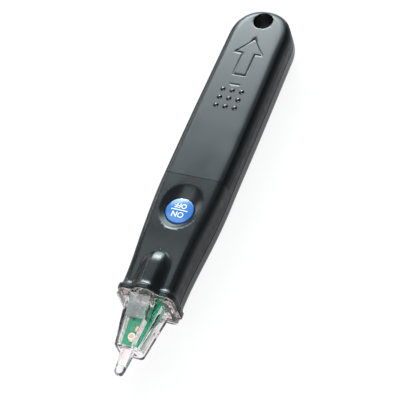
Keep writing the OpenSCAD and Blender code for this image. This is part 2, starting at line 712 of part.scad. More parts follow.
// Indicator in the window
led_d = 2.2;
led_h = 1.2;
led_eye_d = 1.4;
module alarm_led() {
    color([0.95, 0.93, 0.85]) difference() {
        spot(led_at, board_deep) cylinder(d = led_d, h = led_h, $fn = 48);
        spot(led_at, board_deep - led_h/3) cylinder(d = led_eye_d, h = led_h, $fn = 48);
    }
}
module alarm_led_lens() {
    color([0.95, 0.6, 0.55]) spot(led_at, board_deep - led_h/3)
        cylinder(d = led_eye_d, h = led_h/3, $fn = 48);
}

// White light in the bulge
light_at = body_from + play;
light_leg = 0.5;
light_leg_pitch = 2.54;
module work_light() {
    color([0.9, 0.92, 0.95, 0.7]) spot(light_at - light_len, light_deep) rotate([90, 0, 0])
        rotate_extrude($fn = 64) {
        square([light_d/2, light_len - light_d/2]);
        intersection() {
            translate([0, light_len - light_d/2]) circle(d = light_d, $fn = 96);
            square([light_d/2, light_len]);
        }
    }
}
module work_light_leads() {
    leg_to = light_at - light_len;
    color([0.8, 0.8, 0.78]) for (s = [-1, 1]) {
        x = s*light_leg_pitch/2 - light_leg/2;
        block(leg_to - 2*light_leg, leg_to, light_deep - light_leg/2, light_deep + light_leg/2,
            x, x + light_leg);
        block(leg_to - 2*light_leg, leg_to - light_leg, light_deep - light_leg/2, board_deep,
            x, x + light_leg);
    }
}

// Pick-up strip from the board's end into the nose
sensor_t = 0.3;
sensor_w = 1.8;
module sensor_plate() {
    color([0.9, 0.7, 0.6]) block(board_to, shoulder_at + nose_len*strip_share,
        board_mid - sensor_t/2, board_mid + sensor_t/2, -sensor_w/2, sensor_w/2);
}

// Buzzer
buzzer_at = screw_neck_at - boss_d/2 - play - buzzer_d/2;
buzzer_wall = 0.6;
buzzer_hole_d = 1.6;
module buzzer_case() {
    color([0.08, 0.08, 0.08]) spot(buzzer_at, board_deep) difference() {
        cylinder(d = buzzer_d, h = buzzer_h, $fn = 64);
        translate([0, 0, -over])
            cylinder(d = buzzer_d - 2*buzzer_wall, h = over + buzzer_h - buzzer_wall, $fn = 64);
        cylinder(d = buzzer_hole_d, h = buzzer_h + over, $fn = 32);
    }
}
module buzzer_disc() {
    color([0.8, 0.65, 0.3]) spot(buzzer_at, board_deep) difference() {
        cylinder(d = buzzer_d - 2*buzzer_wall - 2*play, h = buzzer_h/3, $fn = 64);
        translate([0, 0, sensor_t]) cylinder(d = buzzer_d/2, h = buzzer_h, $fn = 48);
    }
}

// Cell and its contacts
can_round = 0.5;
module battery_cell() {
    r = cell_d/2;
    can = cell_len - cell_button_h;
    color([0.55, 0.57, 0.6]) spot(cell_from, cell_deep) rotate([90, 0, 0]) rotate_extrude($fn = 96)
        polygon([[0, 0], [r - can_round, 0], [r, can_round], [r, can - can_round],
            [r - can_round, can], [0, can]]);
}
module battery_cap() {
    color([0.8, 0.8, 0.82]) spot(cell_to - cell_button_h, cell_deep) rotate([90, 0, 0])
        cylinder(d = cell_button_d, h = cell_button_h, $fn = 48);
}
module negative_plate() {
    w = spring_d + 2*spring_wire;
    color([0.8, 0.8, 0.78]) spot(bay_from, cell_deep)
        translate([-w/2, -plate_t, -w/2]) cube([w, plate_t, w]);
}
dimple_d = 3;
dimple_top_d = 1.8;
contact_w = 8;
module positive_contact() {
    color([0.8, 0.8, 0.78]) {
        block(bay_to - plate_t, bay_to, cell_deep - contact_w/2, cell_deep + contact_w/2,
            -contact_w/2, contact_w/2 + bite);
        spot(bay_to - plate_t - dimple_h, cell_deep) rotate([90, 0, 0])
            cylinder(d1 = dimple_top_d, d2 = dimple_d, h = dimple_h + plate_t/2, $fn = 48);
        block(bay_to - plate_t, board_from + 2*strip_w, board_back, board_back + plate_t,
            cell_button_d, cell_button_d + tab_w);
    }
}
module return_strip() {
    color([0.8, 0.8, 0.78]) rise(board_back, board_back + plate_t) polygon([
        [-spring_d/2 - spring_wire, py(bay_from)], [-strip_in - strip_w, py(bay_from)],
        [-strip_in - strip_w, py(board_from + 2*strip_w)],
        [-board_half + 2*strip_w, py(board_from + 2*strip_w)],
        [-board_half + 2*strip_w, py(board_from + strip_w)], [-strip_in, py(board_from + strip_w)],
        [-strip_in, py(bay_from + strip_w)], [-spring_d/2 - spring_wire, py(bay_from + strip_w)]]);
}

// Contact spring: one tube along a tapering helix, with a short straight end at each side
curl_rings = 8;
tube_sides = 6;
helix_len = spring_len - 2*spring_wire;
turns = spring_curls*curl_rings;
function helix_r(t) = (spring_d + (spring_tip_d - spring_d)*t)/2 - spring_wire/2;
function helix(k) = let (t = k/turns, a = 360*k/curl_rings)
    [helix_r(t)*cos(a), spring_wire + helix_len*t, helix_r(t)*sin(a)];
end_share = 0.7;
spring_path = concat([[helix_r(0), 0, 0], [helix_r(0), spring_wire*end_share, 0]],
    [for (k = [1:turns - 1]) helix(k)],
    [[helix_r(1), spring_len - spring_wire*end_share, 0], [helix_r(1), spring_len, 0]]);
function unit(v) = v/norm(v);
function way(p, k) = unit(p[min(k + 1, len(p) - 1)] - p[max(k - 1, 0)]);
module tube(path, r) {
    n = len(path);
    rings = [for (k = [0:n - 1])
        let (w = (k == 0 || k == n - 1) ? [0, 1, 0] : way(path, k),
            side = unit(cross(w, [path[k][0], 0, path[k][2]])), up = cross(side, w))
        [for (i = [0:tube_sides - 1]) let (a = 360*i/tube_sides)
            path[k] + r*(cos(a)*up + sin(a)*side)]];
    points = [for (g = rings) for (p = g) p];
    ends = [[for (i = [0:tube_sides - 1]) i], [for (i = [tube_sides - 1:-1:0]) (n - 1)*tube_sides + i]];
    sides = [for (j = [0:n - 2]) for (i = [0:tube_sides - 1]) let (k = (i + 1)%tube_sides)
        for (f = [0, 1])
        f == 0 ? [j*tube_sides + k, j*tube_sides + i, (j + 1)*tube_sides + i]
        : [j*tube_sides + k, (j + 1)*tube_sides + i, (j + 1)*tube_sides + k]];
    polyhedron(points, concat(ends, sides));
}
module negative_spring() {
    gaps = [for (a = [0:len(spring_path) - 1]) for (b = [a + curl_rings/2:1:len(spring_path) - 1])
        norm(spring_path[a] - spring_path[b]) - spring_wire];
    echo("least gap between the curls", min(gaps));
    color([0.75, 0.75, 0.78]) spot(bay_from + plate_t, cell_deep) mirror([0, 1, 0])
        tube(spring_path, spring_wire/2);
}

// Screws with crossed slots that hold the shells together from the back
cross_w = 0.5;
cross_len = 2.2;
cross_deep = 0.8;
module case_screws() {
    color([0.6, 0.6, 0.62]) for (d = [screw_tail_at, screw_neck_at]) spot(d, back_deep(d) - play)
        difference() {
            union() {
                cylinder(d = screw_head_d, h = screw_head_h, $fn = 48);
                cylinder(d = screw_d - bite, h = back_deep(d) - play - 2*wall - over, $fn = 32);
            }
            for (a = [0, 90]) rotate([0, 0, a]) translate([-cross_len/2, -cross_w/2, -over])
                cube([cross_len, cross_w, cross_deep + over]);
        }
}

front_shell();
rear_shell();
battery_cover();
tip_lens();
power_button();
switch_plunger();
switch_body();
circuit_board();
control_chip();
boost_coil();
chip_capacitors();
chip_resistors();
alarm_led();
alarm_led_lens();
work_light();
work_light_leads();
sensor_plate();
buzzer_case();
buzzer_disc();
battery_cell();
battery_cap();
negative_spring();
negative_plate();
positive_contact();
return_strip();
case_screws();
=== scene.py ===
"""Pen-type voltage detector: its pieces, finishes, light and camera.

Lengths are in metres in the mesh and in millimetres in the size fields. A distance d runs from the
tail end along the pen, and a depth h runs down from the front face.
"""

import logging
import math
from dataclasses import dataclass
from enum import Enum, IntEnum
from typing import Callable, Iterable, Optional, Sequence

import bmesh
import bpy
from mathutils import Matrix, Vector


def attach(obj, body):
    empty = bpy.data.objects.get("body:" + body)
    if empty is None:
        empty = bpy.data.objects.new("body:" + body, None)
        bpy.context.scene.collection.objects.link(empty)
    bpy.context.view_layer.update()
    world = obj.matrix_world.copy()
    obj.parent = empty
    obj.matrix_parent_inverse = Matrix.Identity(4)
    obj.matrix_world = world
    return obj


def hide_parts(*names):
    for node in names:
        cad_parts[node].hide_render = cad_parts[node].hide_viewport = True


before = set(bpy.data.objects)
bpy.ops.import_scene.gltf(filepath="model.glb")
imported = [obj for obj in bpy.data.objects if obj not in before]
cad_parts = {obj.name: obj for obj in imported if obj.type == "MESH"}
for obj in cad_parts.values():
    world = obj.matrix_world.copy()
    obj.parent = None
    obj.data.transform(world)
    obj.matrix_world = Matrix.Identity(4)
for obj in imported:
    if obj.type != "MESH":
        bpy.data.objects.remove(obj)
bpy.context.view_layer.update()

log = logging.getLogger("detector")
logging.basicConfig(level=logging.INFO, format="%(message)s")

MM = 0.001
# Least share across the pen in the normal of a face that counts as a side
SIDEWAYS = 0.55
# Distances in metres at which points of a skin, and of a small form, count as one
SAME = 2e-6
TINY = 1e-6
Pair = tuple[float, float]
Triple = tuple[float, float, float]
Quad = tuple[float, float, float, float]
Station = Quad
Profile = Sequence[Pair]
Box = tuple[Pair, Pair, Pair]
BMesh = bmesh.types.BMesh
BMEdge = bmesh.types.BMEdge
Object = bpy.types.Object
Node = bpy.types.Node
Tree = bpy.types.NodeTree
Socket = bpy.types.NodeSocket


# The form that the pieces share


def ease(t: float) -> float:
    """Smooth step from 0 to 1."""
    u = min(1.0, max(0.0, t))
    return u * u * (3 - 2 * u)


def steps(a: float, b: float, n: int) -> list[float]:
    """Evenly spaced values from a to b, both ends included."""
    return [a + (b - a) * k / n for k in range(n + 1)]


def quarter(n: int) -> list[float]:
    """Angles of a quarter turn in n steps, in radians."""
    return [math.radians(90 * k / n) for k in range(n + 1)]


def rounded(r: float) -> Profile:
    """Quarter round of radius r, from the side to the face, as steps in and down."""
    return [(r * (1 - math.cos(a)), r * (1 - math.sin(a))) for a in quarter(8)]


def rod(r: float, a: float, b: float) -> Profile:
    """Profile of a cylinder of radius r between the heights a and b."""
    return [(0, a), (r, a), (r, b), (0, b)]


@dataclass(frozen=True)
class Form:
    """Outline of the housing, in millimetres, with the same named sizes as the solids."""

    total: float = 125.925
    face: float = 14.5
    wall: float = 1.1
    seam: float = 0.15
    tail_w: float = 19.3
    belly_w: float = 20.2
    neck_w: float = 16.8
    body_depth: float = 13.0
    neck_depth: float = 13.9
    tail_round: float = 10.4
    front_round: float = 2.6
    back_round: float = 3.0
    cover_len: float = 63.2
    shell_len: float = 102.15
    front_fall: float = 1.4
    part_tail: float = 7.1
    part_neck: float = 8.2
    rim_out: float = 0.6
    flare_len: float = 2.0
    rim_band: float = 1.2
    bulge_len: float = 13.4
    bulge_arch: float = 4.8
    bulge_w: float = 9.8
    bulge_up: float = 0.9
    strap_at: float = 4.75
    strap_d: float = 6.2
    cover_side: float = 3.75
    dish_at: float = 73.4
    dish_w: float = 12.6
    dish_len: float = 16.0
    dish_depth: float = 1.7
    button_at: float = 74.9
    tail_power: float = 2.2
    rail_from: float = 12.9
    rail_len: float = 46.3
    screws: Pair = (66.55, 90.95)

    @property
    def bulge_from(self) -> float:
        """Station where the bulge starts."""
        return self.shell_len - self.bulge_len

    @property
    def flare_from(self) -> float:
        """Station where the flare of the rim starts."""
        return self.shell_len - self.rim_band - self.flare_len

    @property
    def head_from(self) -> float:
        """First station of the front shell's head end."""
        return self.cover_len + self.seam

    def at(self, x: float, d: float, h: float) -> Vector:
        """Point in the shared frame.

        Args:
            x: Distance across.
            d: Distance from the tail end.
            h: Depth below the front face.

        Returns:
            The point in metres.
        """
        return Vector((x * MM, (self.total / 2 - d) * MM, (self.face - h) * MM))

    def along(self, length: float) -> Vector:
        """Step towards the nose, in metres."""
        return Vector((0, -length * MM, 0))

    def half(self, d: float) -> float:
        """Half width of the housing at a station, with the flare of the rim.

        Args:
            d: Distance from the tail end.

        Returns:
            The half width.
        """
        wide = (self.belly_w - self.tail_w) / 2 * ease(d / (self.cover_len * 0.8))
        taper = (self.neck_w - self.belly_w) / 2 * ease(
            (d - self.cover_len * 1.02) / (self.shell_len * 0.96 - self.cover_len * 1.02))
        return self.tail_w / 2 + wide + taper + self.flare(d)

    def flare(self, d: float) -> float:
        """How far the rim stands out at a station."""
        u = min(1.0, max(0.0, (d - self.flare_from) / self.flare_len))
        return self.rim_out * (1 - math.sqrt(1 - u * u))

    def front(self, d: float) -> float:
        """Depth of the front face."""
        start = self.dish_at + self.dish_len / 2
        return self.front_fall * ease((d - start) / (self.shell_len - start)) - self.flare(d)

    def back(self, d: float) -> float:
        """Depth of the back face."""
        rise = ease((d - self.cover_len * 0.9) / (self.cover_len * 0.4))
        return self.body_depth + (self.neck_depth - self.body_depth) * rise + self.flare(d)

    def part(self, d: float) -> float:
        """Depth of the line between the two shells."""
        rise = ease((d - self.cover_len * 0.85) / (self.cover_len * 0.45))
        return self.part_tail + (self.part_neck - self.part_tail) * rise

    def arch(self, d: float) -> float:
        """Share of the bulge's height and width that a station has."""
        u = min(1.0, max(0.0, (self.bulge_from + self.bulge_arch - d) / self.bulge_arch))
        return math.sqrt(1 - u * u)

    def bell(self, t: float) -> float:
        """Height share across the bulge, t from -1 to 1."""
        return (1 - 0.25 * t * t) * (1 - ease((abs(t) - 0.28) / 0.72))

    def bulge_rise(self, d: float) -> float:
        """Height of the bulge over the front face at a station."""
        return (self.bulge_up + self.front(d) + self.flare(d)) * self.arch(d) ** 1.6

    def tail_station(self, a: float) -> Station:
        """Point of the rounded tail.

        Args:
            a: Angle from 90 degrees at the side to 0 at the tip, in radians.

        Returns:
            Distance across and along, and the inward direction.
        """
        if a <= 1e-9:
            return (0.0, 0.0, 0.0, 1.0)
        p = self.tail_power
        sx = math.sin(a) ** (2 / p)
        d = self.tail_round * (1 - max(0.0, math.cos(a)) ** (2 / p))
        x = self.half(d) * sx
        nx, nd = sx ** (p - 1) / self.half(d), (1 - d / self.tail_round) ** (p - 1) / self.tail_round
        n = math.hypot(nx, nd)
        return (x, d, -nx / n, nd / n)

    def stations(self, start: float, tail: bool = True) -> list[Station]:
        """Stations of the right outline, from start towards the tail.

        Args:
            start: The station to start from, the rim's end or the cover's line.
            tail: Whether to go on round the tail to its tip.

        Returns:
            Each station's distance across and along and its inward direction.
        """
        marks: list[float] = []
        if start > self.flare_from:
            marks += [self.shell_len, self.shell_len - self.rim_band / 2]
            marks += [self.flare_from + self.flare_len * math.sin(a) for a in quarter(8)[::-1]]
            marks += steps(self.flare_from, self.bulge_from + self.bulge_arch, 7)[1:]
            marks += [self.bulge_from + self.bulge_arch * (1 - math.cos(a)) for a in quarter(12)[-2::-1]]
            marks += steps(self.bulge_from, self.head_from, 26)[1:]
        else:
            marks += [start]
        if tail:
            marks += steps(marks[-1], self.tail_round, 40)[1:]
        found: list[Station] = [(self.half(d), d, -1.0, 0.0) for d in marks]
        return found + [self.tail_station(a) for a in quarter(20)[-2::-1]] if tail else found

    def row(self, right: Sequence[Triple], middle: Sequence[Triple], last: int = 0) -> list[Vector]:
        """Points across the pen: right side, middle, and the side with the middle's first few mirrored."""
        left = [(-x, d, h) for x, d, h in reversed([*right, *middle[:last]])]
        return [self.at(*p) for p in [*right, *middle, *left]]

    def hoop(self, station: Station, right: Profile) -> list[Vector]:
        """Points across the pen, with a side given by a profile and a straight middle.

        Args:
            station: The station.
            right: How far in and how deep the points of the side lie.

        Returns:
            The points in metres.
        """
        x, d, nx, nd = station
        edge = [(x + e * nx, d + e * nd, h) for e, h in right]
        x0, d0, h0 = edge[-1]
        return self.row(edge, [(x0 * (1 - k / 6), d0, h0) for k in range(1, 12)])


FORM = Form()


# Making meshes


def put_grid(bm: BMesh, rows: Sequence[Sequence[Vector]]) -> None:
    """Lay a grid over rows of points.

    Args:
        bm: The mesh to add to.
        rows: Rows of the same number of points.
    """
    n, m = len(rows), len(rows[0])
    made = bmesh.ops.create_grid(bm, x_segments=m - 1, y_segments=n - 1, size=1.0)["verts"]
    made.sort(key=lambda v: (round(v.co.y, 5), round(v.co.x, 5)))
    for k, vert in enumerate(made):
        vert.co = rows[k // m][k % m]


def put_ring(bm: BMesh, points: Sequence[Vector], cap: bool = False) -> list[BMEdge]:
    """Add a closed loop of edges.

    Args:
        bm: The mesh to add to.
        points: The loop's points.
        cap: Whether it gets a face.

    Returns:
        The loop's edges.
    """
    made = bmesh.ops.create_circle(bm, cap_ends=cap, segments=len(points), radius=1.0)["verts"]
    for vert, point in zip(made, points):
        vert.co = point
    own = set(made)
    return [e for e in {e for v in made for e in v.link_edges} if set(e.verts) <= own]


def put_loft(bm: BMesh, rings: Sequence[Sequence[Vector]], capped: bool = True) -> None:
    """Bridge rings of points into one skin.

    Args:
        bm: The mesh to add to.
        rings: Closed rings of the same number of points.
        capped: Whether the two ends are closed.
    """
    loops = [put_ring(bm, ring, cap=capped and k in (0, len(rings) - 1)) for k, ring in enumerate(rings)]
    for a, b in zip(loops, loops[1:]):
        bmesh.ops.bridge_loops(bm, edges=a + b)


def round_off(bm: BMesh, edges: Sequence[BMEdge], radius: float, segments: int) -> None:
    """Round edges with a radius in millimetres."""
    bmesh.ops.bevel(bm, geom=edges, offset=radius * MM, offset_type="OFFSET", segments=segments, profile=0.5,
                    affect="EDGES", material=-1, clamp_overlap=True)


def lengthwise(edge: BMEdge) -> bool:
    """Whether an edge of a block runs along the pen."""
    return abs(edge.verts[0].co.y - edge.verts[1].co.y) > 2 * MM


def round_end(bm: BMesh, radius: float, segments: int) -> None:
    """Round the rim of the end that faces the nose, radius in millimetres."""
    low = min(v.co.y for v in bm.verts)
    round_off(bm, [e for e in bm.edges if all(abs(v.co.y - low) < TINY for v in e.verts)], radius, segments)


def put_block(bm: BMesh, corners: Sequence[Vector], radius: float = 0.0, segments: int = 3,
              which: Optional[Callable[[BMEdge], bool]] = None) -> None:
    """Add a block with eight given corners and rounded edges.

    Args:
        bm: The mesh to add to.
        corners: Corners in the order of x, then y, then z, low before high.
        radius: Radius of the edges in millimetres, 0 for sharp.
        segments: Steps round an edge.
        which: Picks the edges to round, all of them if left out.
    """
    made = bmesh.ops.create_cube(bm, size=2.0)["verts"]
    made.sort(key=lambda v: (v.co.x, v.co.y, v.co.z))
    for vert, corner in zip(made, corners):
        vert.co = corner
    edges = list({e for v in made for e in v.link_edges})
    if which is not None:
        edges = [e for e in edges if which(e)]
    if radius > 0 and edges:
        round_off(bm, edges, radius, segments)


def wedge(*ends: Quad) -> list[Vector]:
    """Corners of a block from its ends' station, half width, front and back depth, the nose's end first."""
    return [FORM.at(s * half, d, h) for s in (-1, 1) for d, half, front, back in ends for h in (back, front)]


def put_box(bm: BMesh, x: Pair, d: Pair, h: Pair, radius: float = 0.0) -> None:
    """Add an upright box between two values each way, low before high."""
    put_block(bm, [FORM.at(a, b, c) for a in x for b in reversed(d) for c in reversed(h)], radius, 2)


def pour(part: BMesh, bm: BMesh) -> None:
    """Move a part into a mesh.

    Args:
        part: The part, which is freed.
        bm: The mesh that takes it.
    """
    shell = bpy.data.meshes.new("part")
    part.to_mesh(shell)
    part.free()
    bm.from_mesh(shell)
    bpy.data.meshes.remove(shell)


def put_spin(bm: BMesh, profile: Profile, centre: Vector, axis: str = "Z", count: int = 64,
             stretch: float = 1.0) -> None:
    """Turn an open profile of radius and height about an axis.

    Args:
        bm: The mesh to add to.
        profile: Radius and height in millimetres, from one end to the other.
        centre: Where radius and height are 0.
        axis: "Z" for height upwards, "Y" for height towards the nose.
        count: Steps round the axis.
        stretch: Scale along the pen after the turn.
    """
    part = bmesh.new()
    verts = [part.verts.new((r * MM, 0.0, z * MM)) for r, z in profile]
    for a, b in zip(verts, verts[1:]):
        part.edges.new((a, b))
    bmesh.ops.spin(part, geom=part.verts[:] + part.edges[:], cent=(0, 0, 0), axis=(0, 0, 1), dvec=(0, 0, 0),
                   angle=math.tau, steps=count, use_merge=True)
    bmesh.ops.remove_doubles(part, verts=part.verts[:], dist=TINY)
    bmesh.ops.holes_fill(part, edges=part.edges[:], sides=0)
    bmesh.ops.recalc_face_normals(part, faces=part.faces[:])
    if stretch != 1.0:
        bmesh.ops.scale(part, vec=(1, stretch, 1), verts=part.verts[:])
    if axis == "Y":
        bmesh.ops.rotate(part, cent=(0, 0, 0), matrix=Matrix.Rotation(math.radians(90), 3, "X"),
                         verts=part.verts[:])
    bmesh.ops.translate(part, vec=centre, verts=part.verts[:])
    pour(part, bm)


def put_prism(bm: BMesh, outline: Sequence[Vector], along: Vector, radius: float = 0.0,
              segments: int = 2) -> None:
    """Extrude a flat outline, with rounded rims if asked.

    Args:
        bm: The mesh to add to.
        outline: Points of the outline in metres.
        along: How far the outline is carried.
        radius: Radius of the two rims in millimetres.
        segments: Steps round a rim.
    """
    part = bmesh.new()
    put_ring(part, outline, cap=True)
    base = part.faces[:]
    rims = list(part.edges)
    lifted = bmesh.ops.extrude_face_region(part, geom=base)["geom"]
    bmesh.ops.translate(part, vec=along, verts=[g for g in lifted if isinstance(g, bmesh.types.BMVert)])
    rims += [g for g in lifted if isinstance(g, BMEdge)]
    bmesh.ops.holes_fill(part, edges=part.edges[:], sides=0)
    bmesh.ops.recalc_face_normals(part, faces=part.faces[:])
    if radius > 0:
        round_off(part, [e for e in rims if e.is_valid], radius, segments)
    pour(part, bm)


def formed(put: Callable[..., None], *args: object, **named: object) -> BMesh:
    """Start a mesh with one form in it.

    Args:
        put: The function that adds the form.
        args: What it takes after the mesh.
        named: What it takes by name.

    Returns:
        The mesh.
    """
    bm = bmesh.new()
    put(bm, *args, **named)
    return bm


def outward(bm: BMesh, up: int = 1) -> None:
    """Turn all faces outward.

    Args:
        bm: The mesh.
        up: 1 to go by its highest face, which looks up, -1 by its lowest, which looks down.
    """
    bmesh.ops.recalc_face_normals(bm, faces=bm.faces[:])
    last = max(bm.faces, key=lambda f: up * f.calc_center_median().z)
    if up * last.normal.z < 0:
        bmesh.ops.reverse_faces(bm, faces=bm.faces[:])


def skinned(rows: Sequence[Sequence[Vector]], up: int = 1) -> BMesh:
    """Make an open skin over rows of points.

    Args:
        rows: The rows, all of the same length.
        up: Which way it looks, as outward takes it.

    Returns:
        The skin.
    """
    bm = formed(put_grid, rows)
    bmesh.ops.remove_doubles(bm, verts=bm.verts[:], dist=SAME)
    bmesh.ops.dissolve_degenerate(bm, edges=bm.edges[:], dist=TINY)
    outward(bm, up)
    return bm


def smooth(mesh: bpy.types.Mesh, angle: float) -> None:
    """Shade a mesh smooth, with edges sharper than an angle kept."""
    mesh.shade_smooth()
    mesh.set_sharp_from_angle(angle=math.radians(angle))


def piece(name: str, bm: BMesh, material: Optional[bpy.types.Material] = None,
          angle: float = 35.0) -> Object:
    """Make an object of a finished mesh.

    Args:
        name: The piece's name.
        bm: Its mesh, which is freed.
        material: Its finish.
        angle: Edges sharper than this stay sharp.

    Returns:
        The object, linked to the scene.
    """
    mesh = bpy.data.meshes.new(name)
    bm.to_mesh(mesh)
    bm.free()
    smooth(mesh, angle)
    obj = bpy.data.objects.new(name, mesh)
    bpy.context.scene.collection.objects.link(obj)
    if material is not None:
        mesh.materials.append(material)
    return obj


def settle(obj: Object, angle: float = 35.0) -> None:
    """Fix an object's modifiers into its mesh.

    Args:
        obj: The object.
        angle: Edges sharper than this stay sharp.
    """
    bpy.context.view_layer.update()
    evaluated = obj.evaluated_get(bpy.context.evaluated_depsgraph_get())
    mesh = bpy.data.meshes.new_from_object(evaluated)
    old = obj.data
    name = old.name
    obj.modifiers.clear()
    obj.data = mesh
    bpy.data.meshes.remove(old)
    mesh.name = name
    smooth(mesh, angle)


class Join(Enum):
    """How a form is worked into a piece."""

    ADD = "UNION"
    CUT = "DIFFERENCE"


def work(obj: Object, how: Join, bm: BMesh) -> None:
    """Add a form to a piece or cut it out.

    Args:
        obj: The piece.
        how: Add or cut.
        bm: The form, which is freed.
    """
    tool = piece("tool", bm)
    mod = obj.modifiers.new("work", "BOOLEAN")
    mod.operation = how.value
    mod.solver = "EXACT"
    mod.object = tool
    settle(obj)
    mesh = tool.data
    bpy.data.objects.remove(tool)
    bpy.data.meshes.remove(mesh)


def wall_in(obj: Object, thickness: float) -> None:
    """Give an open skin a wall on its inner side.

    Args:
        obj: The skin.
        thickness: The wall in millimetres.
    """
    mod = obj.modifiers.new("wall", "SOLIDIFY")
    mod.thickness = thickness * MM
    mod.offset = -1.0
    mod.use_even_offset = False
    mod.use_rim = True
    settle(obj)


def dull_and_shade_sides(obj: Object, finish: "Finish") -> None:
    """Give the faces that look sideways a rougher, darker copy of the plastic: texture and painted shade.

    Args:
        obj: The piece.
        finish: The sides' rougher finish, whose darker colour and weaker reflection are painted shade.
    """
    obj.data.materials.append(finish.make())
    last = len(obj.data.materials) - 1
    for face in obj.data.polygons:
        if abs(face.normal.x) > SIDEWAYS:
            face.material_index = last


def soften(obj: Object, radius: float, segments: int = 2, angle: float = 40.0,
           sharp_at: Optional[float] = None) -> None:
    """Round a piece's sharp edges a little.

    Args:
        obj: The piece.
        radius: Radius in millimetres.
        segments: Steps round an edge.
        angle: Edges flatter than this are left alone.
        sharp_at: A station whose edges stay sharp.
    """
    bm = bmesh.new()
    bm.from_mesh(obj.data)
    weight = bm.edges.layers.float.get("bevel_weight_edge") or bm.edges.layers.float.new("bevel_weight_edge")
    for edge in bm.edges:
        turned = len(edge.link_faces) == 2 and edge.calc_face_angle(0.0) > math.radians(angle)
        kept = sharp_at is not None and all(
            abs(FORM.total / 2 - v.co.y / MM - sharp_at) < 0.02 for v in edge.verts)
        edge[weight] = 1.0 if turned and not kept else 0.0
    bm.to_mesh(obj.data)
    bm.free()
    mod = obj.modifiers.new("soft edges", "BEVEL")
    mod.width = radius * MM
    mod.segments = segments
    mod.limit_method = "WEIGHT"
    mod.use_clamp_overlap = True
    mod.miter_outer = "MITER_ARC"
    settle(obj, 50.0)


# Finishes


@dataclass(frozen=True)
class Finish:
    """A procedural finish.

    Attributes:
        name: Name of the material.
        colour: Main colour, linear.
        other: Colour that the main one wanders to.
        rough: Lowest and highest roughness.
        grain: Size of the surface's grain in millimetres.
        relief: Height of the grain in millimetres.
        patch: Size of the colour's patches in millimetres.
        metal: 1 for bare metal.
        clear: Transmission of light, 0 to 1.
        ior: Refraction.
        coat: Weight of a clear coat.
        sheen_level: Strength of mirror reflection.
    """

    name: str
    colour: Triple
    other: Triple
    rough: Pair = (0.35, 0.5)
    grain: float = 0.25
    relief: float = 0.004
    patch: float = 6.0
    metal: float = 0.0
    clear: float = 0.0
    ior: float = 1.46
    coat: float = 0.0
    sheen_level: float = 0.5

    def make(self) -> bpy.types.Material:
        """Build the material.

        Returns:
            The material, made once and used again by name.
        """
        known = bpy.data.materials.get("finish_" + self.name)
        if known is not None:
            return known
        mat = bpy.data.materials.new("finish_" + self.name)
        mat.use_nodes = True
        tree = mat.node_tree
        shader = tree.nodes["Principled BSDF"]
        place = tree.nodes.new("ShaderNodeTexCoord")
        patches = self.noise(tree, place, 1 / (self.patch * MM), 3.0)
        grains = self.noise(tree, place, 1 / (self.grain * MM), 2.0)
        mix = tree.nodes.new("ShaderNodeMix")
        mix.data_type = "RGBA"
        mix.inputs[6].default_value = (*self.colour, 1)
        mix.inputs[7].default_value = (*self.other, 1)
        tree.links.new(patches.outputs["Fac"], mix.inputs[0])
        tree.links.new(mix.outputs[2], shader.inputs["Base Color"])
        spread = tree.nodes.new("ShaderNodeMapRange")
        for key, value in zip(("From Min", "From Max", "To Min", "To Max"), (0.3, 0.7, *self.rough)):
            spread.inputs[key].default_value = value
        tree.links.new(patches.outputs["Fac"], spread.inputs["Value"])
        tree.links.new(spread.outputs["Result"], shader.inputs["Roughness"])
        bump = tree.nodes.new("ShaderNodeBump")
        bump.inputs["Strength"].default_value = 1.0
        bump.inputs["Distance"].default_value = self.relief * MM
        tree.links.new(grains.outputs["Fac"], bump.inputs["Height"])
        tree.links.new(bump.outputs["Normal"], shader.inputs["Normal"])
        for key, value in (("Metallic", self.metal), ("IOR", self.ior), ("Transmission Weight", self.clear),
                           ("Coat Weight", self.coat), ("Specular IOR Level", self.sheen_level)):
            shader.inputs[key].default_value = value
        if self.clear > 0.5:
            self.let_light_in(tree, shader)
        return mat

    def let_light_in(self, tree: Tree, shader: Node) -> None:
        """Let the lamps shine through a clear material.

        Args:
            tree: The node tree.
            shader: The material's shader.
        """
        path = tree.nodes.new("ShaderNodeLightPath")
        thin = tree.nodes.new("ShaderNodeBsdfTransparent")
        thin.inputs["Color"].default_value = (*self.other, 1)
        mix = tree.nodes.new("ShaderNodeMixShader")
        tree.links.new(path.outputs["Is Shadow Ray"], mix.inputs[0])
        tree.links.new(shader.outputs[0], mix.inputs[1])
        tree.links.new(thin.outputs[0], mix.inputs[2])
        tree.links.new(mix.outputs[0], tree.nodes["Material Output"].inputs["Surface"])

    @staticmethod
    def noise(tree: Tree, place: Node, scale: float, detail: float) -> Node:
        """Add a noise texture on the piece's own coordinates.

        Args:
            tree: The node tree.
            place: The node with the coordinates.
            scale: Its scale.
            detail: Its detail.

        Returns:
            The texture.
        """
        node = tree.nodes.new("ShaderNodeTexNoise")
        node.inputs["Scale"].default_value = scale
        node.inputs["Detail"].default_value = detail
        tree.links.new(place.outputs["Object"], node.inputs["Vector"])
        return node


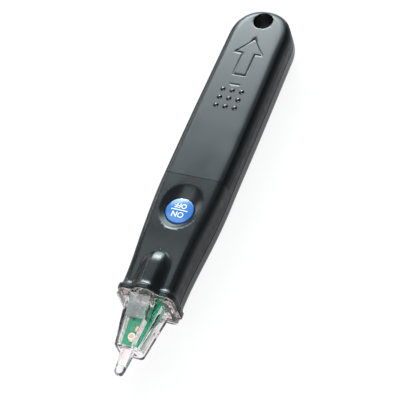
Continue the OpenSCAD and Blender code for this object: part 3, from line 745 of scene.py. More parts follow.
HOUSING = Finish("housing_plastic", (0.004, 0.006, 0.0065), (0.008, 0.0105, 0.011), (0.24, 0.3), 0.2,
                 0.004, 9.0)
COVER = Finish("cover_plastic", (0.006, 0.008, 0.0095), (0.011, 0.014, 0.0155), (0.28, 0.36), 0.2, 0.004,
               9.0)
# Rougher copies of the two plastics for sideways faces: the grain stands for the sides' texture, and the
# darker colour and weaker reflection are painted shade.
HOUSING_SIDE_SHADED = Finish("housing_side_shaded", (0.0015, 0.002, 0.0022), (0.004, 0.005, 0.0055), (0.36, 0.5), 0.35,
                      0.03, 2.0, sheen_level=0.24)
COVER_SIDE_SHADED = Finish("cover_side", (0.002, 0.0028, 0.0032), (0.005, 0.006, 0.0066), (0.4, 0.55), 0.25, 0.01,
                    4.0, sheen_level=0.1)
SEAM = Finish("joint_shade", (0.0005, 0.0005, 0.0006), (0.0012, 0.0013, 0.0014), (0.7, 0.9), 0.2, 0.004,
              2.0, sheen_level=0.02)
# Near-black copy of the cover plastic for the nubs and hooks: the low roughness and the coat stand for thumb
# wear, and the darker colour is painted shade.
NUBS_SHADED = Finish("worn_nubs_painted_shade", (0.001, 0.0014, 0.0018), (0.003, 0.004, 0.005), (0.12, 0.18), 0.2, 0.001, 3.0,
              coat=1.0)
CLEAR = Finish("clear_plastic", (0.985, 0.965, 0.975), (0.97, 0.94, 0.96), (0.02, 0.05), 0.8, 0.002, 5.0,
               clear=1.0, ior=1.42)
BUTTON = Finish("button_plastic", (0.035, 0.15, 0.46), (0.05, 0.19, 0.54), (0.16, 0.24), 0.3, 0.001, 4.0,
                coat=0.5)
PRINT = Finish("white_print", (0.85, 0.9, 0.95), (0.78, 0.84, 0.92), (0.4, 0.55), 0.15, 0.002, 1.5)
BOARD = Finish("board_laminate", (0.0, 0.22, 0.105), (0.0, 0.28, 0.13), (0.25, 0.4), 0.4, 0.003, 2.0,
               coat=0.3)
BLACK_CHIP = Finish("chip_epoxy", (0.02, 0.02, 0.021), (0.035, 0.034, 0.033), (0.45, 0.6), 0.12, 0.004,
                    2.0)
TIN = Finish("tinned_steel", (0.62, 0.61, 0.58), (0.72, 0.71, 0.69), (0.22, 0.36), 0.3, 0.003, 3.0,
             metal=1.0)
STEEL = Finish("spring_steel", (0.5, 0.5, 0.52), (0.62, 0.62, 0.63), (0.2, 0.32), 0.15, 0.002, 1.0,
               metal=1.0)
SCREW = Finish("screw_steel", (0.32, 0.32, 0.33), (0.42, 0.42, 0.43), (0.25, 0.38), 0.2, 0.004, 1.2,
               metal=1.0)
BRASS = Finish("buzzer_brass", (0.6, 0.43, 0.14), (0.7, 0.52, 0.2), (0.25, 0.4), 0.3, 0.003, 2.0,
               metal=1.0)
WRAP = Finish("cell_wrap", (0.06, 0.065, 0.075), (0.08, 0.085, 0.095), (0.2, 0.3), 0.4, 0.002, 8.0,
              coat=0.4)
CERAMIC = Finish("capacitor_ceramic", (0.52, 0.33, 0.16), (0.6, 0.42, 0.24), (0.4, 0.55), 0.1, 0.003, 0.8)
LED_RING = Finish("led_plastic", (0.72, 0.68, 0.5), (0.66, 0.6, 0.42), (0.3, 0.4), 0.2, 0.002, 1.0)
LED_LENS = Finish("led_lens", (0.85, 0.36, 0.32), (0.9, 0.45, 0.4), (0.15, 0.25), 0.2, 0.002, 0.6)
LIGHT = Finish("light_epoxy", (0.9, 0.92, 0.95), (0.93, 0.94, 0.97), (0.03, 0.08), 0.6, 0.001, 3.0,
               clear=0.85, ior=1.4)
COIL = Finish("coil_ferrite", (0.045, 0.035, 0.03), (0.07, 0.055, 0.045), (0.5, 0.65), 0.15, 0.006, 1.5)
FROST = Finish("frosted_block", (0.34, 0.32, 0.35), (0.8, 0.75, 0.78), (0.12, 0.3), 0.7, 0.12, 0.9,
               clear=0.55, ior=1.4)
RAIL = Finish("pale_rails", (0.93, 0.81, 0.83), (0.98, 0.92, 0.92), (0.15, 0.35), 0.4, 0.01, 1.5,
              clear=0.45, ior=1.4)
# Near-white finish for painted highlights along the flange's edge and on the flutes.
PAINTED_HIGHLIGHT = Finish("painted_highlight_edges", (0.95, 0.93, 0.92), (1.0, 0.99, 0.98), (0.15, 0.3), 0.4, 0.005, 1.5,
                clear=0.1, ior=1.4)
FLANGE = Finish("flange_plastic", (0.12, 0.085, 0.08), (0.72, 0.6, 0.57), (0.03, 0.1), 2.0, 0.01, 2.0,
                clear=1.0, ior=1.3)
STRIP = Finish("sensor_strip", (0.62, 0.5, 0.47), (0.74, 0.62, 0.58), (0.35, 0.45), 0.2, 0.002, 1.5)
PLUNGER = Finish("plunger_plastic", (0.5, 0.09, 0.05), (0.56, 0.12, 0.07), (0.35, 0.45), 0.2, 0.002, 1.0)
SWITCH = Finish("switch_metal", (0.06, 0.06, 0.065), (0.09, 0.09, 0.095), (0.4, 0.5), 0.15, 0.003, 1.5)


# The sub-assemblies


@dataclass
class Cover:
    """Sliding battery cover with its nubs, thumb mark, arrow, hooks and latch tongues."""

    form: Form = FORM
    nubs_at: float = 34.6
    nub_pitch: float = 3.0
    nub_d: float = 1.75
    nub_h: float = 0.45
    mark_at: float = 29.3
    mark_len: float = 3.1
    mark_w: float = 0.35
    mark_deep: float = 0.25
    hook: Profile = ((5.8, 0.9), (6.4, 0.9), (6.4, 2.4), (7.0, 2.4), (7.0, 3.0), (5.8, 3.0))
    tongue: Pair = (4.15, 6.35)
    tongue_boxes: tuple[tuple[Pair, Pair, float], ...] = (
        ((60.2, 64.55), (1.25, 1.95), 0.15), ((60.2, 61.7), (0.9, 1.45), 0.05))
    arrow_points: Profile = ((0, 12.2), (4.0, 17.4), (1.9, 17.4), (1.9, 25.6), (-1.9, 25.6), (-1.9, 17.4),
                             (-4.0, 17.4))
    arrow_line: float = 0.34
    arrow_cut: float = 0.38

    def skin(self) -> BMesh:
        """Outer skin from the cover's line round the tail.

        Returns:
            An open skin.
        """
        f = self.form
        right = [(0.0, h) for h in steps(f.cover_side, f.front_round, 2)[:-1]] + rounded(f.front_round)
        return skinned([f.hoop(s, right) for s in f.stations(f.cover_len)])

    def nubs(self, bm: BMesh) -> None:
        """Add nine domes for the thumb.

        Args:
            bm: The mesh to add to.
        """
        r = self.nub_d / 2
        cap = (r * r + self.nub_h * self.nub_h) / (2 * self.nub_h)
        turned = [math.asin(r / cap) * k / 8 for k in range(9)]
        dome = [(cap * math.sin(a), self.nub_h - cap * (1 - math.cos(a))) for a in turned]
        for i in (-1, 0, 1):
            for j in (-1, 0, 1):
                spot = self.form.at(i * self.nub_pitch, self.nubs_at + j * self.nub_pitch, 0)
                put_spin(bm, dome + [(r, -0.3), (0, -0.3)], spot, count=28)

    def hooks(self, bm: BMesh) -> None:
        """Add the hooked ribs along both sides and the two latch tongues.

        Args:
            bm: The mesh to add to.
        """
        f = self.form
        for s in (-1, 1):
            put_prism(bm, [f.at(s * x, f.rail_from, h) for x, h in self.hook], f.along(f.rail_len), 0.08)
            wide = tuple(sorted(s * x for x in self.tongue))
            for d, h, radius in self.tongue_boxes:
                put_box(bm, wide, d, h, radius)

    def arrow(self) -> BMesh:
        """Outline arrow towards the tail, as a thin ring to engrave.

        Returns:
            A closed form that stands through the face.
        """
        bm = formed(put_ring, [self.form.at(x, d, -0.2) for x, d in self.arrow_points], cap=True)
        ring = bmesh.ops.inset_region(bm, faces=bm.faces[:], thickness=self.arrow_line * MM,
                                      use_even_offset=True, use_boundary=True)["faces"]
        bmesh.ops.delete(bm, geom=[g for g in bm.faces if g not in ring], context="FACES_ONLY")
        lifted = bmesh.ops.extrude_face_region(bm, geom=bm.faces[:])["geom"]
        bmesh.ops.translate(bm, vec=(0, 0, -self.arrow_cut * MM),
                            verts=[g for g in lifted if isinstance(g, bmesh.types.BMVert)])
        bmesh.ops.recalc_face_normals(bm, faces=bm.faces[:])
        return bm

    def build(self) -> None:
        """Make the cover."""
        f = self.form
        cover = piece("battery_cover_shell", self.skin(), COVER.make())
        wall_in(cover, f.wall)
        long, near, far = self.mark_len / 2, self.mark_at - self.mark_w / 2, self.mark_at + self.mark_w / 2
        for tool in (formed(put_spin, rod(f.strap_d / 2, 2.0, -4.0), f.at(0, f.strap_at, 0), count=72),
                     formed(put_box, (-long, long), (near, far), (-1, self.mark_deep)),
                     self.arrow()):
            work(cover, Join.CUT, tool)
        soften(cover, 0.06, sharp_at=f.cover_len)
        # Painted shade: the sideways faces take a darker copy of the cover plastic.
        dull_and_shade_sides(cover, COVER_SIDE_SHADED)
        more = formed(self.nubs)
        self.hooks(more)
        # The nubs and hooks take the darker, polished finish: painted shade with a worn shine.
        extra = piece("battery_cover_nubs", more, NUBS_SHADED.make(), 40.0)
        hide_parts("battery_cover")
        for obj in (cover, extra):
            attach(obj, "cover")
            log.info("piece %s", obj.name)


@dataclass
class FrontShell:
    """Front half of the housing: head end with dish and bulge, and the band round the tail."""

    form: Form = FORM
    button_hole: float = 8.8
    guide_d: float = 11.0
    rail: Profile = ((7.9, 4.35), (9.2, 4.35), (9.2, 3.9), (7.9, 3.9), (7.9, 1.65), (6.7, 1.65), (6.7, 2.25),
                     (7.3, 2.25), (7.3, 4.35))
    boss_tops: Pair = (1.7, 0.0)

    def head_row(self, station: Station) -> list[Vector]:
        """Points across the head end, from the right part line to the left.

        Args:
            station: The station.

        Returns:
            The points in metres.
        """
        f = self.form
        x, d = station[:2]
        r, front = f.front_round, f.front(d)
        right = [(0.0, h) for h in steps(f.part(d), f.cover_side + f.seam, 3)] + [(0.0, front + r)]
        right += [(e, front + h) for e, h in rounded(r)[1:]]
        flat = x - r
        share = f.arch(d) if d > f.bulge_from else min(1.0, (f.bulge_from - d) / 3)
        half = f.bulge_w / 2 * max(share, 0.06)
        rise = f.bulge_rise(d) if d > f.bulge_from else 0.0
        middle = [(flat + (half - flat) * k / 4, d, front) for k in range(1, 4)]
        middle += [(half * t, d, front - rise * f.bell(t)) for t in steps(1, -1, 24)]
        return f.row([(x - e, d, h) for e, h in right], middle, last=3)

    def skin(self) -> BMesh:
        """Outer skin of the whole front shell.

        Returns:
            An open skin.
        """
        f = self.form
        bm = formed(put_grid, [self.head_row(s) for s in f.stations(f.shell_len, tail=False)])
        band = f.stations(f.head_from)
        round_tail = [(x, d) for x, d, _, _ in band] + [(-x, d) for x, d, _, _ in reversed(band[:-1])]
        put_grid(bm, [[f.at(x, d, h) for h in steps(f.part(d), f.cover_side + f.seam, 3)]
                      for x, d in round_tail])
        bmesh.ops.remove_doubles(bm, verts=bm.verts[:], dist=SAME)
        outward(bm)
        return bm

    def dish_profile(self, grow: float) -> list[Pair]:
        """Radius and height of the dish.

        Args:
            grow: How far it is let out, 0 for the dish itself.

        Returns:
            Points from its floor to its rim.
        """
        f = self.form
        ball = ((f.dish_w / 2) ** 2 + f.dish_depth ** 2) / (2 * f.dish_depth)
        out, centre = ball + grow, ball - f.dish_depth
        edge = math.acos(min(1.0, (centre + (f.wall - 0.2 if grow else 0.0)) / out))
        return [(out * math.sin(edge * k / 14), centre - out * math.cos(edge * k / 14)) for k in range(15)]

    def build(self) -> None:
        """Make the front shell."""
        f = self.form
        shell = piece("front_shell_skin", self.skin(), HOUSING.make())
        wall_in(shell, f.wall)
        dish_at, button_at, oval = f.at(0, f.dish_at, 0), f.at(0, f.button_at, 0), f.dish_len / f.dish_w
        under, bowl = self.dish_profile(f.wall), self.dish_profile(0.0)
        bowl += [(bowl[-1][0], 1.5), (0, 1.5)]
        for how, tool in (
                (Join.ADD, formed(put_spin, under + [(0, under[-1][1])], dish_at, count=96, stretch=oval)),
                (Join.ADD, formed(put_spin, rod(self.guide_d / 2, -1.0, -3.3), button_at, count=72)),
                (Join.CUT, formed(put_spin, bowl, dish_at, count=112, stretch=oval)),
                (Join.CUT, formed(put_spin, rod(self.button_hole / 2, 1.0, -4.0), button_at, count=72))):
            work(shell, how, tool)
        soften(shell, 0.06, sharp_at=f.head_from)
        # Painted shade: the sideways faces take a darker copy of the housing plastic.
        dull_and_shade_sides(shell, HOUSING_SIDE_SHADED)
        rails = bmesh.new()
        for s in (-1, 1):
            put_prism(rails, [f.at(s * x, f.rail_from, h) for x, h in self.rail], f.along(f.rail_len), 0.06)
        for d, top in zip(f.screws, self.boss_tops):
            put_spin(rails, [(1.0, -2.2), (1.0, -7.75), (2.0, -7.75), (2.0, -top), (0, -top)], f.at(0, d, 0),
                     count=40)
        inner = piece("front_shell_rails", rails, HOUSING.make(), 40.0)
        # Painted shade: the sideways faces of the rails and bosses take a darker copy of the housing plastic.
        dull_and_shade_sides(inner, HOUSING_SIDE_SHADED)
        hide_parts("front_shell")
        for obj in (shell, inner):
            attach(obj, "housing")
            log.info("piece %s", obj.name)


@dataclass
class RearShell:
    """Back half of the housing with the strap tube, the battery bay and the screw seats."""

    form: Form = FORM
    bore_r: float = 1.15
    head_r: float = 1.95
    seat_r: float = 2.9
    post_r: float = 2.0
    joint_h: float = 0.14
    joint_up: float = 0.012
    joint_deep: float = 0.3
    tube_r: float = 4.0
    tube: Pair = (-1.25, -12.2)
    ribs: tuple[Box, ...] = (
        ((5.55, 6.15), (11.1, 61.7), (5.5, 12.1)), ((6.39, 6.99), (71.8, 88.75), (7.6, 12.9)))
    bay_ends: tuple[Box, ...] = (
        ((-5.75, 5.75), (60.7, 61.7), (5.5, 12.1)), ((-4.95, 4.95), (8.9, 9.9), (5.5, 12.1)))

    def skin(self) -> BMesh:
        """Outer skin below the line between the shells.

        Returns:
            An open skin.
        """
        f = self.form
        r = f.back_round
        rows = []
        for station in f.stations(f.shell_len):
            d, back = station[1], f.back(station[1])
            right = [(0.0, h) for h in steps(f.part(d) + f.seam, back - r, 4)[:-1]]
            rows.append(f.hoop(station, right + [(e, back - h) for e, h in rounded(r)]))
        return skinned(rows, up=-1)

    def joint(self) -> BMesh:
        """Line between the two shells, round both sides and the tail.

        Returns:
            A closed form.
        """
        f = self.form
        low, high = -self.joint_h, self.joint_h
        cut = [(-self.joint_up, low), (-self.joint_up, high), (self.joint_deep, high), (self.joint_deep, low)]
        right = f.stations(f.shell_len)
        around = right + [(-x, d, -nx, nd) for x, d, nx, nd in reversed(right[:-1])]
        bm = formed(put_loft, [[f.at(x + nx * deep, d + nd * deep, f.part(d) + h) for deep, h in cut]
                               for x, d, nx, nd in around])
        outward(bm)
        return bm

    def build(self) -> None:
        """Make the rear shell."""
        f = self.form
        shell = piece("rear_shell_skin", self.skin(), HOUSING.make())
        wall_in(shell, f.wall)
        strap, strap_r = f.at(0, f.strap_at, 0), f.strap_d / 2
        seats, holes = bmesh.new(), bmesh.new()
        for d in f.screws:
            for bm, foot, up, wide, thin, end in (
                    (seats, -f.back(d) + 0.9, 1.9, self.seat_r, self.post_r, -7.9),
                    (holes, -f.back(d) - 1, 2.45, self.head_r, self.bore_r, -7.0)):
                step = foot + up
                stepped = [(0, foot), (wide, foot), (wide, step), (thin, step), (thin, end), (0, end)]
                put_spin(bm, stepped, f.at(0, d, 0), count=48)
        work(shell, Join.ADD, seats)
        put_spin(holes, rod(strap_r, -9.0, -15.0), strap, count=72)
        work(shell, Join.CUT, holes)
        soften(shell, 0.14)
        line = piece("shell_joint_line", self.joint(), SEAM.make(), 40.0)
        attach(line, "housing")
        log.info("piece %s", line.name)
        top, low = self.tube
        tube = [(strap_r, top), (self.tube_r, top), (self.tube_r, low), (strap_r, low), (strap_r, top)]
        bay = formed(put_spin, tube, strap, count=72)
        for s in (-1, 1):
            for x, d, h in self.ribs:
                put_box(bay, tuple(sorted(s * a for a in x)), d, h, 0.1)
        for box in self.bay_ends:
            put_box(bay, *box, 0.1)
        inner = piece("rear_shell_bay", bay, HOUSING.make(), 40.0)
        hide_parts("rear_shell")
        for obj in (shell, inner):
            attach(obj, "housing")
            log.info("piece %s", obj.name)


class Skin(IntEnum):
    """Material slots of the clear head."""

    CLEAR = 0
    FROST = 1
    RAIL = 2
    FLANGE = 3
    # Painted highlight.
    PAINTED_HIGHLIGHT = 4


@dataclass
class Head:
    """Clear head: flange, spigot, tapering body, light block, window frame and nose."""

    form: Form = FORM
    flange: Pair = (102.225, 104.125)
    flange_in: float = 0.42
    shoulder: float = 118.425
    halves: Pair = (6.15, 3.9)
    fronts: Pair = (3.6, 4.5)
    backs: Pair = (11.3, 11.5)
    wall: float = 0.95
    nose_centre: float = 7.4
    painted_highlight_band: float = 0.22
    block_end: float = 109.95
    spigot: tuple[Quad, Quad] = ((102.6, 7.15, 2.65, 12.65), (98.825, 7.15, 2.65, 12.65))
    bore: tuple[Quad, Quad] = ((102.4, 6.35, 3.45, 11.85), (98.2, 6.35, 3.45, 11.85))
    trough: tuple[Quad, Quad] = ((119.4, 1.8, -1.0, 4.95), (110.0, 2.25, -1.0, 4.25))
    plate_slot: Box = ((-1.05, 1.05), (116.6, 123.1), (6.8, 7.4))
    lamp_bore: Pair = (2.65, 6.3)
    lamp_at: Pair = (98.4, 3.95)
    ridges: tuple[Quad, ...] = (
        (103.9, -0.45, 3.0, 3.85), (108.4, 0.75, 2.9, 3.72), (108.75, 1.25, 2.86, 3.7),
        (109.9, 2.55, 2.8, 3.65), (113.5, 3.0, 2.55, 3.35), (117.3, 3.45, 2.25, 3.0), (118.1, 3.9, 2.15, 2.9))
    flute_span: Pair = (104.6, 117.2)
    facet_span: Pair = (104.3, 118.0)
    window_span: Pair = (104.2, 118.2)
    window_half: float = 3.3
    window_deep: float = 4.2
    rail_in: float = 1.7

    @staticmethod
    def corner(cx: float, ch: float, r: float, start: float) -> list[Pair]:
        """Quarter round of radius r about a centre, across and down, from a start in degrees."""
        turned = [math.radians(start + 90 * k / 8) for k in range(9)]
        return [(cx + r * math.cos(a), ch - r * math.sin(a)) for a in turned]

    def end_ring(self, d: float, inset: float) -> list[Vector]:
        """Outline of the housing's end with the bulge.

        Args:
            d: The station that it is put at.
            inset: How far it is drawn in.

        Returns:
            The outline's points.
        """
        f = self.form
        at = f.shell_len
        half, top, back = f.half(at) - inset, f.front(at) + inset, f.back(at) - inset
        rf, rb = f.front_round - inset, f.back_round - inset
        rise, wide = f.bulge_rise(at), f.bulge_w / 2 - inset / 2
        flat = self.corner(half - rb, back - rb, rb, 270) + self.corner(half - rf, top + rf, rf, 0)
        flat += [(wide * t, top - rise * f.bell(t)) for t in steps(1, -1, 24)]
        flat += self.corner(rf - half, top + rf, rf, 90) + self.corner(rb - half, back - rb, rb, 180)
        return [f.at(x, d, h) for x, h in flat]

    def side(self, values: Pair, d: float) -> float:
        """Value at a station between the flange and the shoulder."""
        t = (d - self.flange[1]) / (self.shoulder - self.flange[1])
        return values[0] + (values[1] - values[0]) * t

    def body(self, inset: float, span: Pair, radius: float, ends: float) -> BMesh:
        """Tapering block of the body or of its hollow.

        Args:
            inset: How far its sides lie inside the outer ones.
            span: Its start and its end.
            radius: Radius of the long edges.
            ends: Radius of the end's edges.

        Returns:
            A closed form.
        """
        corners = wedge(*((d, self.side(self.halves, max(d, self.flange[1])) - inset,
                           self.side(self.fronts, d) + inset, self.side(self.backs, d) - inset)
                          for d in reversed(span)))
        bm = formed(put_block, corners, radius, 6, lengthwise)
        round_end(bm, ends, 4)
        return bm

    def ridge(self) -> BMesh:
        """Raised light block and window frame on the body's front.

        Returns:
            A closed form.
        """
        f = self.form
        bm = formed(put_loft, [[f.at(w, d, top), f.at(-w, d, top), f.at(-foot, d, 5.0), f.at(foot, d, 5.0)]
                               for d, top, w, foot in self.ridges])
        bmesh.ops.recalc_face_normals(bm, faces=bm.faces[:])
        long = [e for e in bm.edges if abs(e.verts[0].co.y - e.verts[1].co.y) > 0.2 * MM
                and min(v.co.z for v in e.verts) > (f.face - 4.6) * MM]
        round_off(bm, long, 0.3, 3)
        return bm

    def flutes(self) -> BMesh:
        """Fine ribs along the inner sides of the body.

        Returns:
            Their closed forms.
        """
        bm = bmesh.new()
        for s in (-1, 1):
            for h in steps(4.6, 9.4, 7):
                ends = [(d, self.side(self.halves, d) - self.wall) for d in reversed(self.flute_span)]
                put_block(bm, [self.form.at(s * (half + near), d, h + e)
                               for near in sorted((-0.16, 0.2), reverse=s < 0)
                               for d, half in ends for e in (0.07, -0.07)], 0.03, 1)
        return bm

    def frost(self, head: Object) -> None:
        """Give the light block, window rails and flange their finishes, and paint highlights and shade.

        Args:
            head: The clear head.
        """
        f = self.form
        start, end = self.window_span
        for finish in (FROST, RAIL, FLANGE, PAINTED_HIGHLIGHT):
            head.data.materials.append(finish.make())
        for face in head.data.polygons:
            x, d, h = face.center.x / MM, f.total / 2 - face.center.y / MM, f.face - face.center.z / MM
            half = self.side(self.halves, d)
            rows = [head.data.vertices[i].co.z / MM for i in face.vertices]
            # A narrow strip at the flange's start takes a painted highlight; the rest of the flange takes its
            # own finish.
            if self.flange[0] < d < self.flange[1] - 0.05 and abs(face.normal.y) < 0.9:
                face.material_index = Skin.FLANGE if d > self.flange[0] + self.painted_highlight_band else Skin.PAINTED_HIGHLIGHT
            # The flat faces of the flutes take painted highlights.
            inside = self.flute_span[0] < d < self.flute_span[1]
            if inside and abs(abs(x) - half + self.wall + 0.1) < 0.25 and max(rows) - min(rows) < 0.2:
                face.material_index = Skin.PAINTED_HIGHLIGHT
            # Only the left outer facet takes the frosted finish: a painted grey for how light falls on this
            # side, while the right facet stays clear.
            if self.facet_span[0] < d < self.facet_span[1] and face.normal.x < -0.8 and x < 0.2 - half:
                face.material_index = Skin.FROST
            if abs(x) > self.window_half or h > self.window_deep or not start < d < end:
                continue
            if d < self.block_end and (face.normal.z > 0.4 or face.normal.y < -0.4):
                face.material_index = Skin.FROST
            elif d >= self.block_end and abs(x) > self.rail_in:
                face.material_index = Skin.RAIL

    def nose(self) -> BMesh:
        """Rounded probe at the end.

        Returns:
            A closed form.
        """
        mid = self.nose_centre
        bm = formed(put_block, wedge(*((d, w, mid - t, mid + t) for d, w, t in ((self.form.total, 1.3, 1.25),
                                                                                (118.0, 1.85, 1.75)))),
                    1.0, 6, lengthwise)
        round_end(bm, 0.95, 6)
        return bm

    def build(self) -> None:
        """Make the clear head."""
        f = self.form
        start = formed(put_prism, self.end_ring(self.flange[0], self.flange_in),
                       f.along(self.flange[1] - self.flange[0]), 0.28, 3)
        head = piece("clear_head", start, CLEAR.make())
        lamp_r, lamp_deep = self.lamp_bore
        lamp = formed(put_spin, rod(lamp_r, 0, lamp_deep), f.at(0, *self.lamp_at), axis="Y", count=48)
        for how, tool in (
                (Join.ADD, formed(put_block, wedge(*self.spigot), 1.6, 6, lengthwise)),
                (Join.ADD, self.body(0, (103.8, self.shoulder), 1.1, 0.8)),
                (Join.ADD, self.ridge()),
                (Join.ADD, self.nose()),
                (Join.CUT, formed(put_block, wedge(*self.bore), 0.9, 4, lengthwise)),
                (Join.CUT, self.body(self.wall, (102.0, self.shoulder - self.wall), 0.6, 0.3)),
                (Join.ADD, self.flutes()),
                (Join.CUT, formed(put_block, wedge(*self.trough), 0.15, 2, lengthwise)),
                (Join.CUT, lamp),
                (Join.CUT, formed(put_box, *self.plate_slot))):
            work(head, how, tool)
        soften(head, 0.06, 1, 50.0)
        self.frost(head)
        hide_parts("tip_lens")
        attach(head, "housing")
        log.info("piece %s", head.name)


@dataclass
class Button:
    """Domed push button with its print."""

    form: Form = FORM
    radius: float = 4.2
    edge: float = 0.45
    crown: float = 0.3
    curl: float = 0.3
    lift: float = 0.015

    def top(self, r: float) -> float:
        """Height of the dome at a radius, below the front face when negative."""
        ball = (self.radius ** 2 + self.crown ** 2) / (2 * self.crown)
        return -self.edge + self.crown - ball + math.sqrt(ball * ball - r * r)

    def printed(self, x: float, y: float) -> Vector:
        """Point just over the dome, x across and y towards the tail from the button's centre."""
        up = self.top(min(self.radius, math.hypot(x, y))) + self.lift
        return self.form.at(x, self.form.button_at, 0) + Vector((0, y * MM, up * MM))

    def words(self, text: str, size: float, centre: Pair) -> Object:
        """A word printed on the dome, to be read with the nose up.

        Args:
            text: The word.
            size: Height of the letters in millimetres.
            centre: Its middle, across and towards the nose from the button's centre.

        Returns:
            The word as a thin mesh.
        """
        curve = bpy.data.curves.new("word", "FONT")
        curve.body = text
        curve.size = size * 1.38
        curve.align_x = "CENTER"
        curve.align_y = "CENTER"
        curve.offset = 0.035
        curve.resolution_u = 6
        holder = bpy.data.objects.new("word", curve)
        bpy.context.scene.collection.objects.link(holder)
        bpy.context.view_layer.update()
        mesh = bpy.data.meshes.new_from_object(holder.evaluated_get(bpy.context.evaluated_depsgraph_get()))
        bpy.data.objects.remove(holder)
        bpy.data.curves.remove(curve)
        bm = bmesh.new()
        bm.from_mesh(mesh)
        bpy.data.meshes.remove(mesh)
        for vert in bm.verts:
            vert.co = self.printed(-(vert.co.x + centre[0]), -(vert.co.y + centre[1]))
        bmesh.ops.recalc_face_normals(bm, faces=bm.faces[:])
        if bm.faces and sum(g.normal.z for g in bm.faces) < 0:
            bmesh.ops.reverse_faces(bm, faces=bm.faces[:])
        return piece("button_word_" + text.lower(), bm, PRINT.make())

    def build(self) -> None:
        """Make the button and its print."""
        f = self.form
        bm = bmesh.new()
        r, turn = self.radius, self.curl
        dome = [(rr, self.top(rr)) for rr in steps(0, r - turn, 10)]
        edge = [(r - turn + turn * math.sin(a), self.top(r - turn) - turn * (1 - math.cos(a)))
                for a in quarter(5)[1:]]
        under = [(r, -3.45), (4.95, -3.45), (4.95, -4.15), (1.45, -4.15), (1.45, -4.25), (0, -4.25)]
        put_spin(bm, dome + edge + under, f.at(0, f.button_at, 0), count=96)
        cap = piece("power_button_cap", bm, BUTTON.make(), 40.0)
        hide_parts("power_button")
        words = [self.words("ON", 1.75, (0, 1.45)), self.words("OFF", 1.55, (0, -1.45))]
        bar = formed(put_grid, [[self.printed(x, y) for x in steps(-2.6, 2.6, 10)] for y in (-0.16, 0.16)])
        outward(bar)
        words.append(piece("button_line", bar, PRINT.make()))
        for obj in (cap, *words):
            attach(obj, "button")
            log.info("piece %s", obj.name)


@dataclass
class Electronics:
    """Looks of the board, its parts, the cell and its contacts."""

    slots: tuple[tuple[str, Finish], ...] = (
        ("switch_plunger", PLUNGER), ("switch_body", SWITCH), ("circuit_board", BOARD),
        ("control_chip", BLACK_CHIP), ("boost_coil", COIL), ("chip_capacitors", CERAMIC),
        ("chip_resistors", BLACK_CHIP), ("alarm_led", LED_RING), ("alarm_led_lens", LED_LENS),
        ("work_light", LIGHT), ("work_light_leads", TIN), ("sensor_plate", STRIP),
        ("buzzer_case", BLACK_CHIP), ("buzzer_disc", BRASS), ("battery_cell", WRAP), ("battery_cap", TIN),
        ("negative_spring", STEEL), ("negative_plate", TIN), ("positive_contact", TIN),
        ("return_strip", TIN), ("case_screws", SCREW), ("front_shell", HOUSING), ("rear_shell", HOUSING),
        ("battery_cover", COVER), ("tip_lens", CLEAR), ("power_button", BUTTON))

    def dress(self) -> None:
        """Give each solid its finish."""
        for node, finish in self.slots:
            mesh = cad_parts[node].data
            mesh.materials.clear()
            mesh.materials.append(finish.make())
            log.info("dressed %s in %s", node, finish.name)


# Stage, light and camera


@dataclass(frozen=True)
class Lamp:
    """A soft rectangular lamp aimed at the pen."""

    name: str
    place: Triple
    aim: Triple
    size: Pair
    power: float
    colour: Triple = (1.0, 1.0, 1.0)

    def build(self) -> None:
        """Hang the lamp."""
        data = bpy.data.lights.new(self.name, "AREA")
        data.shape = "RECTANGLE"
        data.size, data.size_y = self.size
        data.energy = self.power
        data.color = self.colour
        obj = bpy.data.objects.new(self.name, data)
        bpy.context.scene.collection.objects.link(obj)
        obj.location = self.place
        way = Vector(self.aim) - Vector(self.place)
        obj.rotation_euler = way.to_track_quat("-Z", "Y").to_euler()


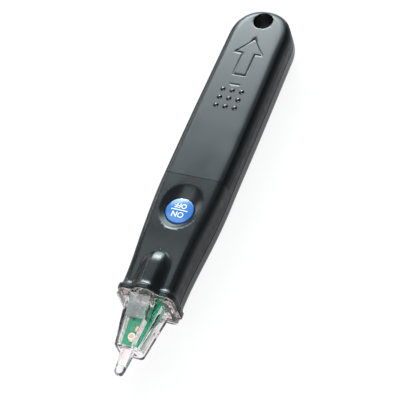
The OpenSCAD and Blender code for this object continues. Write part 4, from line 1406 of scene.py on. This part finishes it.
@dataclass(frozen=True)
class Studio:
    """Pale floor, white surroundings, soft lamps and the photograph's camera."""

    eye: Triple = (0.1923, -0.2319, 0.4164)
    forward: Triple = (-0.37716, 0.45153, -0.80863)
    up: Triple = (-0.19106, 0.81639, 0.54498)
    lens: float = 156.2
    air: Triple = (0.9, 0.93, 1.0)
    air_strength: float = 0.13
    floor_half: float = 1.6
    floor_drop: float = 0.0004
    floor_shade: float = 0.93
    lamps: tuple[Lamp, ...] = (
        Lamp("tail_box", (-0.17, 0.5, 0.34), (0, 0.02, 0), (0.5, 0.34), 4.4, (0.76, 0.95, 1.0)),
        Lamp("spark", (-0.22, 0.43, 0.38), (0, -0.03, 0), (0.12, 0.1), 1.5, (0.95, 0.98, 1.0)),
        Lamp("top_box", (-0.23, 0.03, 0.55), (0, -0.02, 0), (0.3, 0.36), 0.8, (0.85, 0.97, 1.0)),
        Lamp("left_box", (-0.62, 0.32, 0.26), (0, 0, 0), (0.2, 0.16), 0.5),
        Lamp("front_box", (0.35, -0.8, 0.65), (0, 0, 0), (0.8, 0.6), 9.0),
        Lamp("right_box", (0.95, -0.25, 0.3), (0, 0, 0), (0.4, 0.3), 1.2))

    @staticmethod
    def seen_white(tree: Tree, plain: Socket, out: Socket, rays: Iterable[tuple[str, float]]) -> None:
        """Show a surface as plain white to some rays.

        Args:
            tree: The node tree.
            plain: The shader that the other rays meet.
            out: The socket that takes the result.
            rays: Names of the rays that see white, and the white's share in what they see.
        """
        path = tree.nodes.new("ShaderNodeLightPath")
        kind = "ShaderNodeEmission" if out.node.type == "OUTPUT_MATERIAL" else "ShaderNodeBackground"
        glow = tree.nodes.new(kind)
        glow.inputs["Color"].default_value = (1, 1, 1, 1)
        glow.inputs["Strength"].default_value = 1.0
        total: Optional[Socket] = None
        for ray, share in rays:
            part = tree.nodes.new("ShaderNodeMath")
            part.operation = "MULTIPLY_ADD"
            tree.links.new(path.outputs[ray], part.inputs[0])
            part.inputs[1].default_value = share
            if total is None:
                part.inputs[2].default_value = 0.0
            else:
                tree.links.new(total, part.inputs[2])
            total = part.outputs[0]
        mix = tree.nodes.new("ShaderNodeMixShader")
        tree.links.new(total, mix.inputs[0])
        tree.links.new(plain, mix.inputs[1])
        tree.links.new(glow.outputs[0], mix.inputs[2])
        tree.links.new(mix.outputs[0], out)

    def build(self) -> None:
        """Set the stage."""
        scene = bpy.context.scene
        scene.view_settings.view_transform = "Standard"
        world = bpy.data.worlds.new("surroundings")
        scene.world = world
        world.use_nodes = True
        tree = world.node_tree
        plain = tree.nodes["Background"]
        plain.inputs["Color"].default_value = (*self.air, 1)
        plain.inputs["Strength"].default_value = self.air_strength
        self.seen_white(tree, plain.outputs[0], tree.nodes["World Output"].inputs["Surface"],
                        (("Is Camera Ray", 1.0),))
        bm = bmesh.new()
        bmesh.ops.create_grid(bm, x_segments=8, y_segments=8, size=self.floor_half)
        bmesh.ops.translate(bm, vec=(0, 0, -self.floor_drop), verts=bm.verts[:])
        mat = bpy.data.materials.new("pale_floor")
        mat.use_nodes = True
        shader = mat.node_tree.nodes["Principled BSDF"]
        shader.inputs["Base Color"].default_value = (*[self.floor_shade] * 3, 1)
        shader.inputs["Roughness"].default_value = 0.9
        out = mat.node_tree.nodes["Material Output"].inputs["Surface"]
        self.seen_white(mat.node_tree, shader.outputs[0], out,
                        (("Is Camera Ray", 0.88), ("Is Glossy Ray", 0.5), ("Is Transmission Ray", 1.0)))
        floor = piece("floor", bm, mat)
        for lamp in self.lamps:
            lamp.build()
        data = bpy.data.cameras.new("camera")
        data.sensor_fit = "HORIZONTAL"
        data.sensor_width = 36.0
        data.lens = self.lens
        data.clip_start = 0.01
        cam = bpy.data.objects.new("camera", data)
        scene.collection.objects.link(cam)
        f, u = Vector(self.forward).normalized(), Vector(self.up)
        r = f.cross(u).normalized()
        u = r.cross(f).normalized()
        turn = Matrix((r, u, -f)).transposed()
        cam.matrix_world = Matrix.Translation(Vector(self.eye)) @ turn.to_4x4()
        scene.camera = cam


def main() -> None:
    """Build everything in order."""
    Studio().build()
    Electronics().dress()
    RearShell().build()
    FrontShell().build()
    Cover().build()
    Head().build()
    Button().build()


if __name__ == "__main__":
    main()
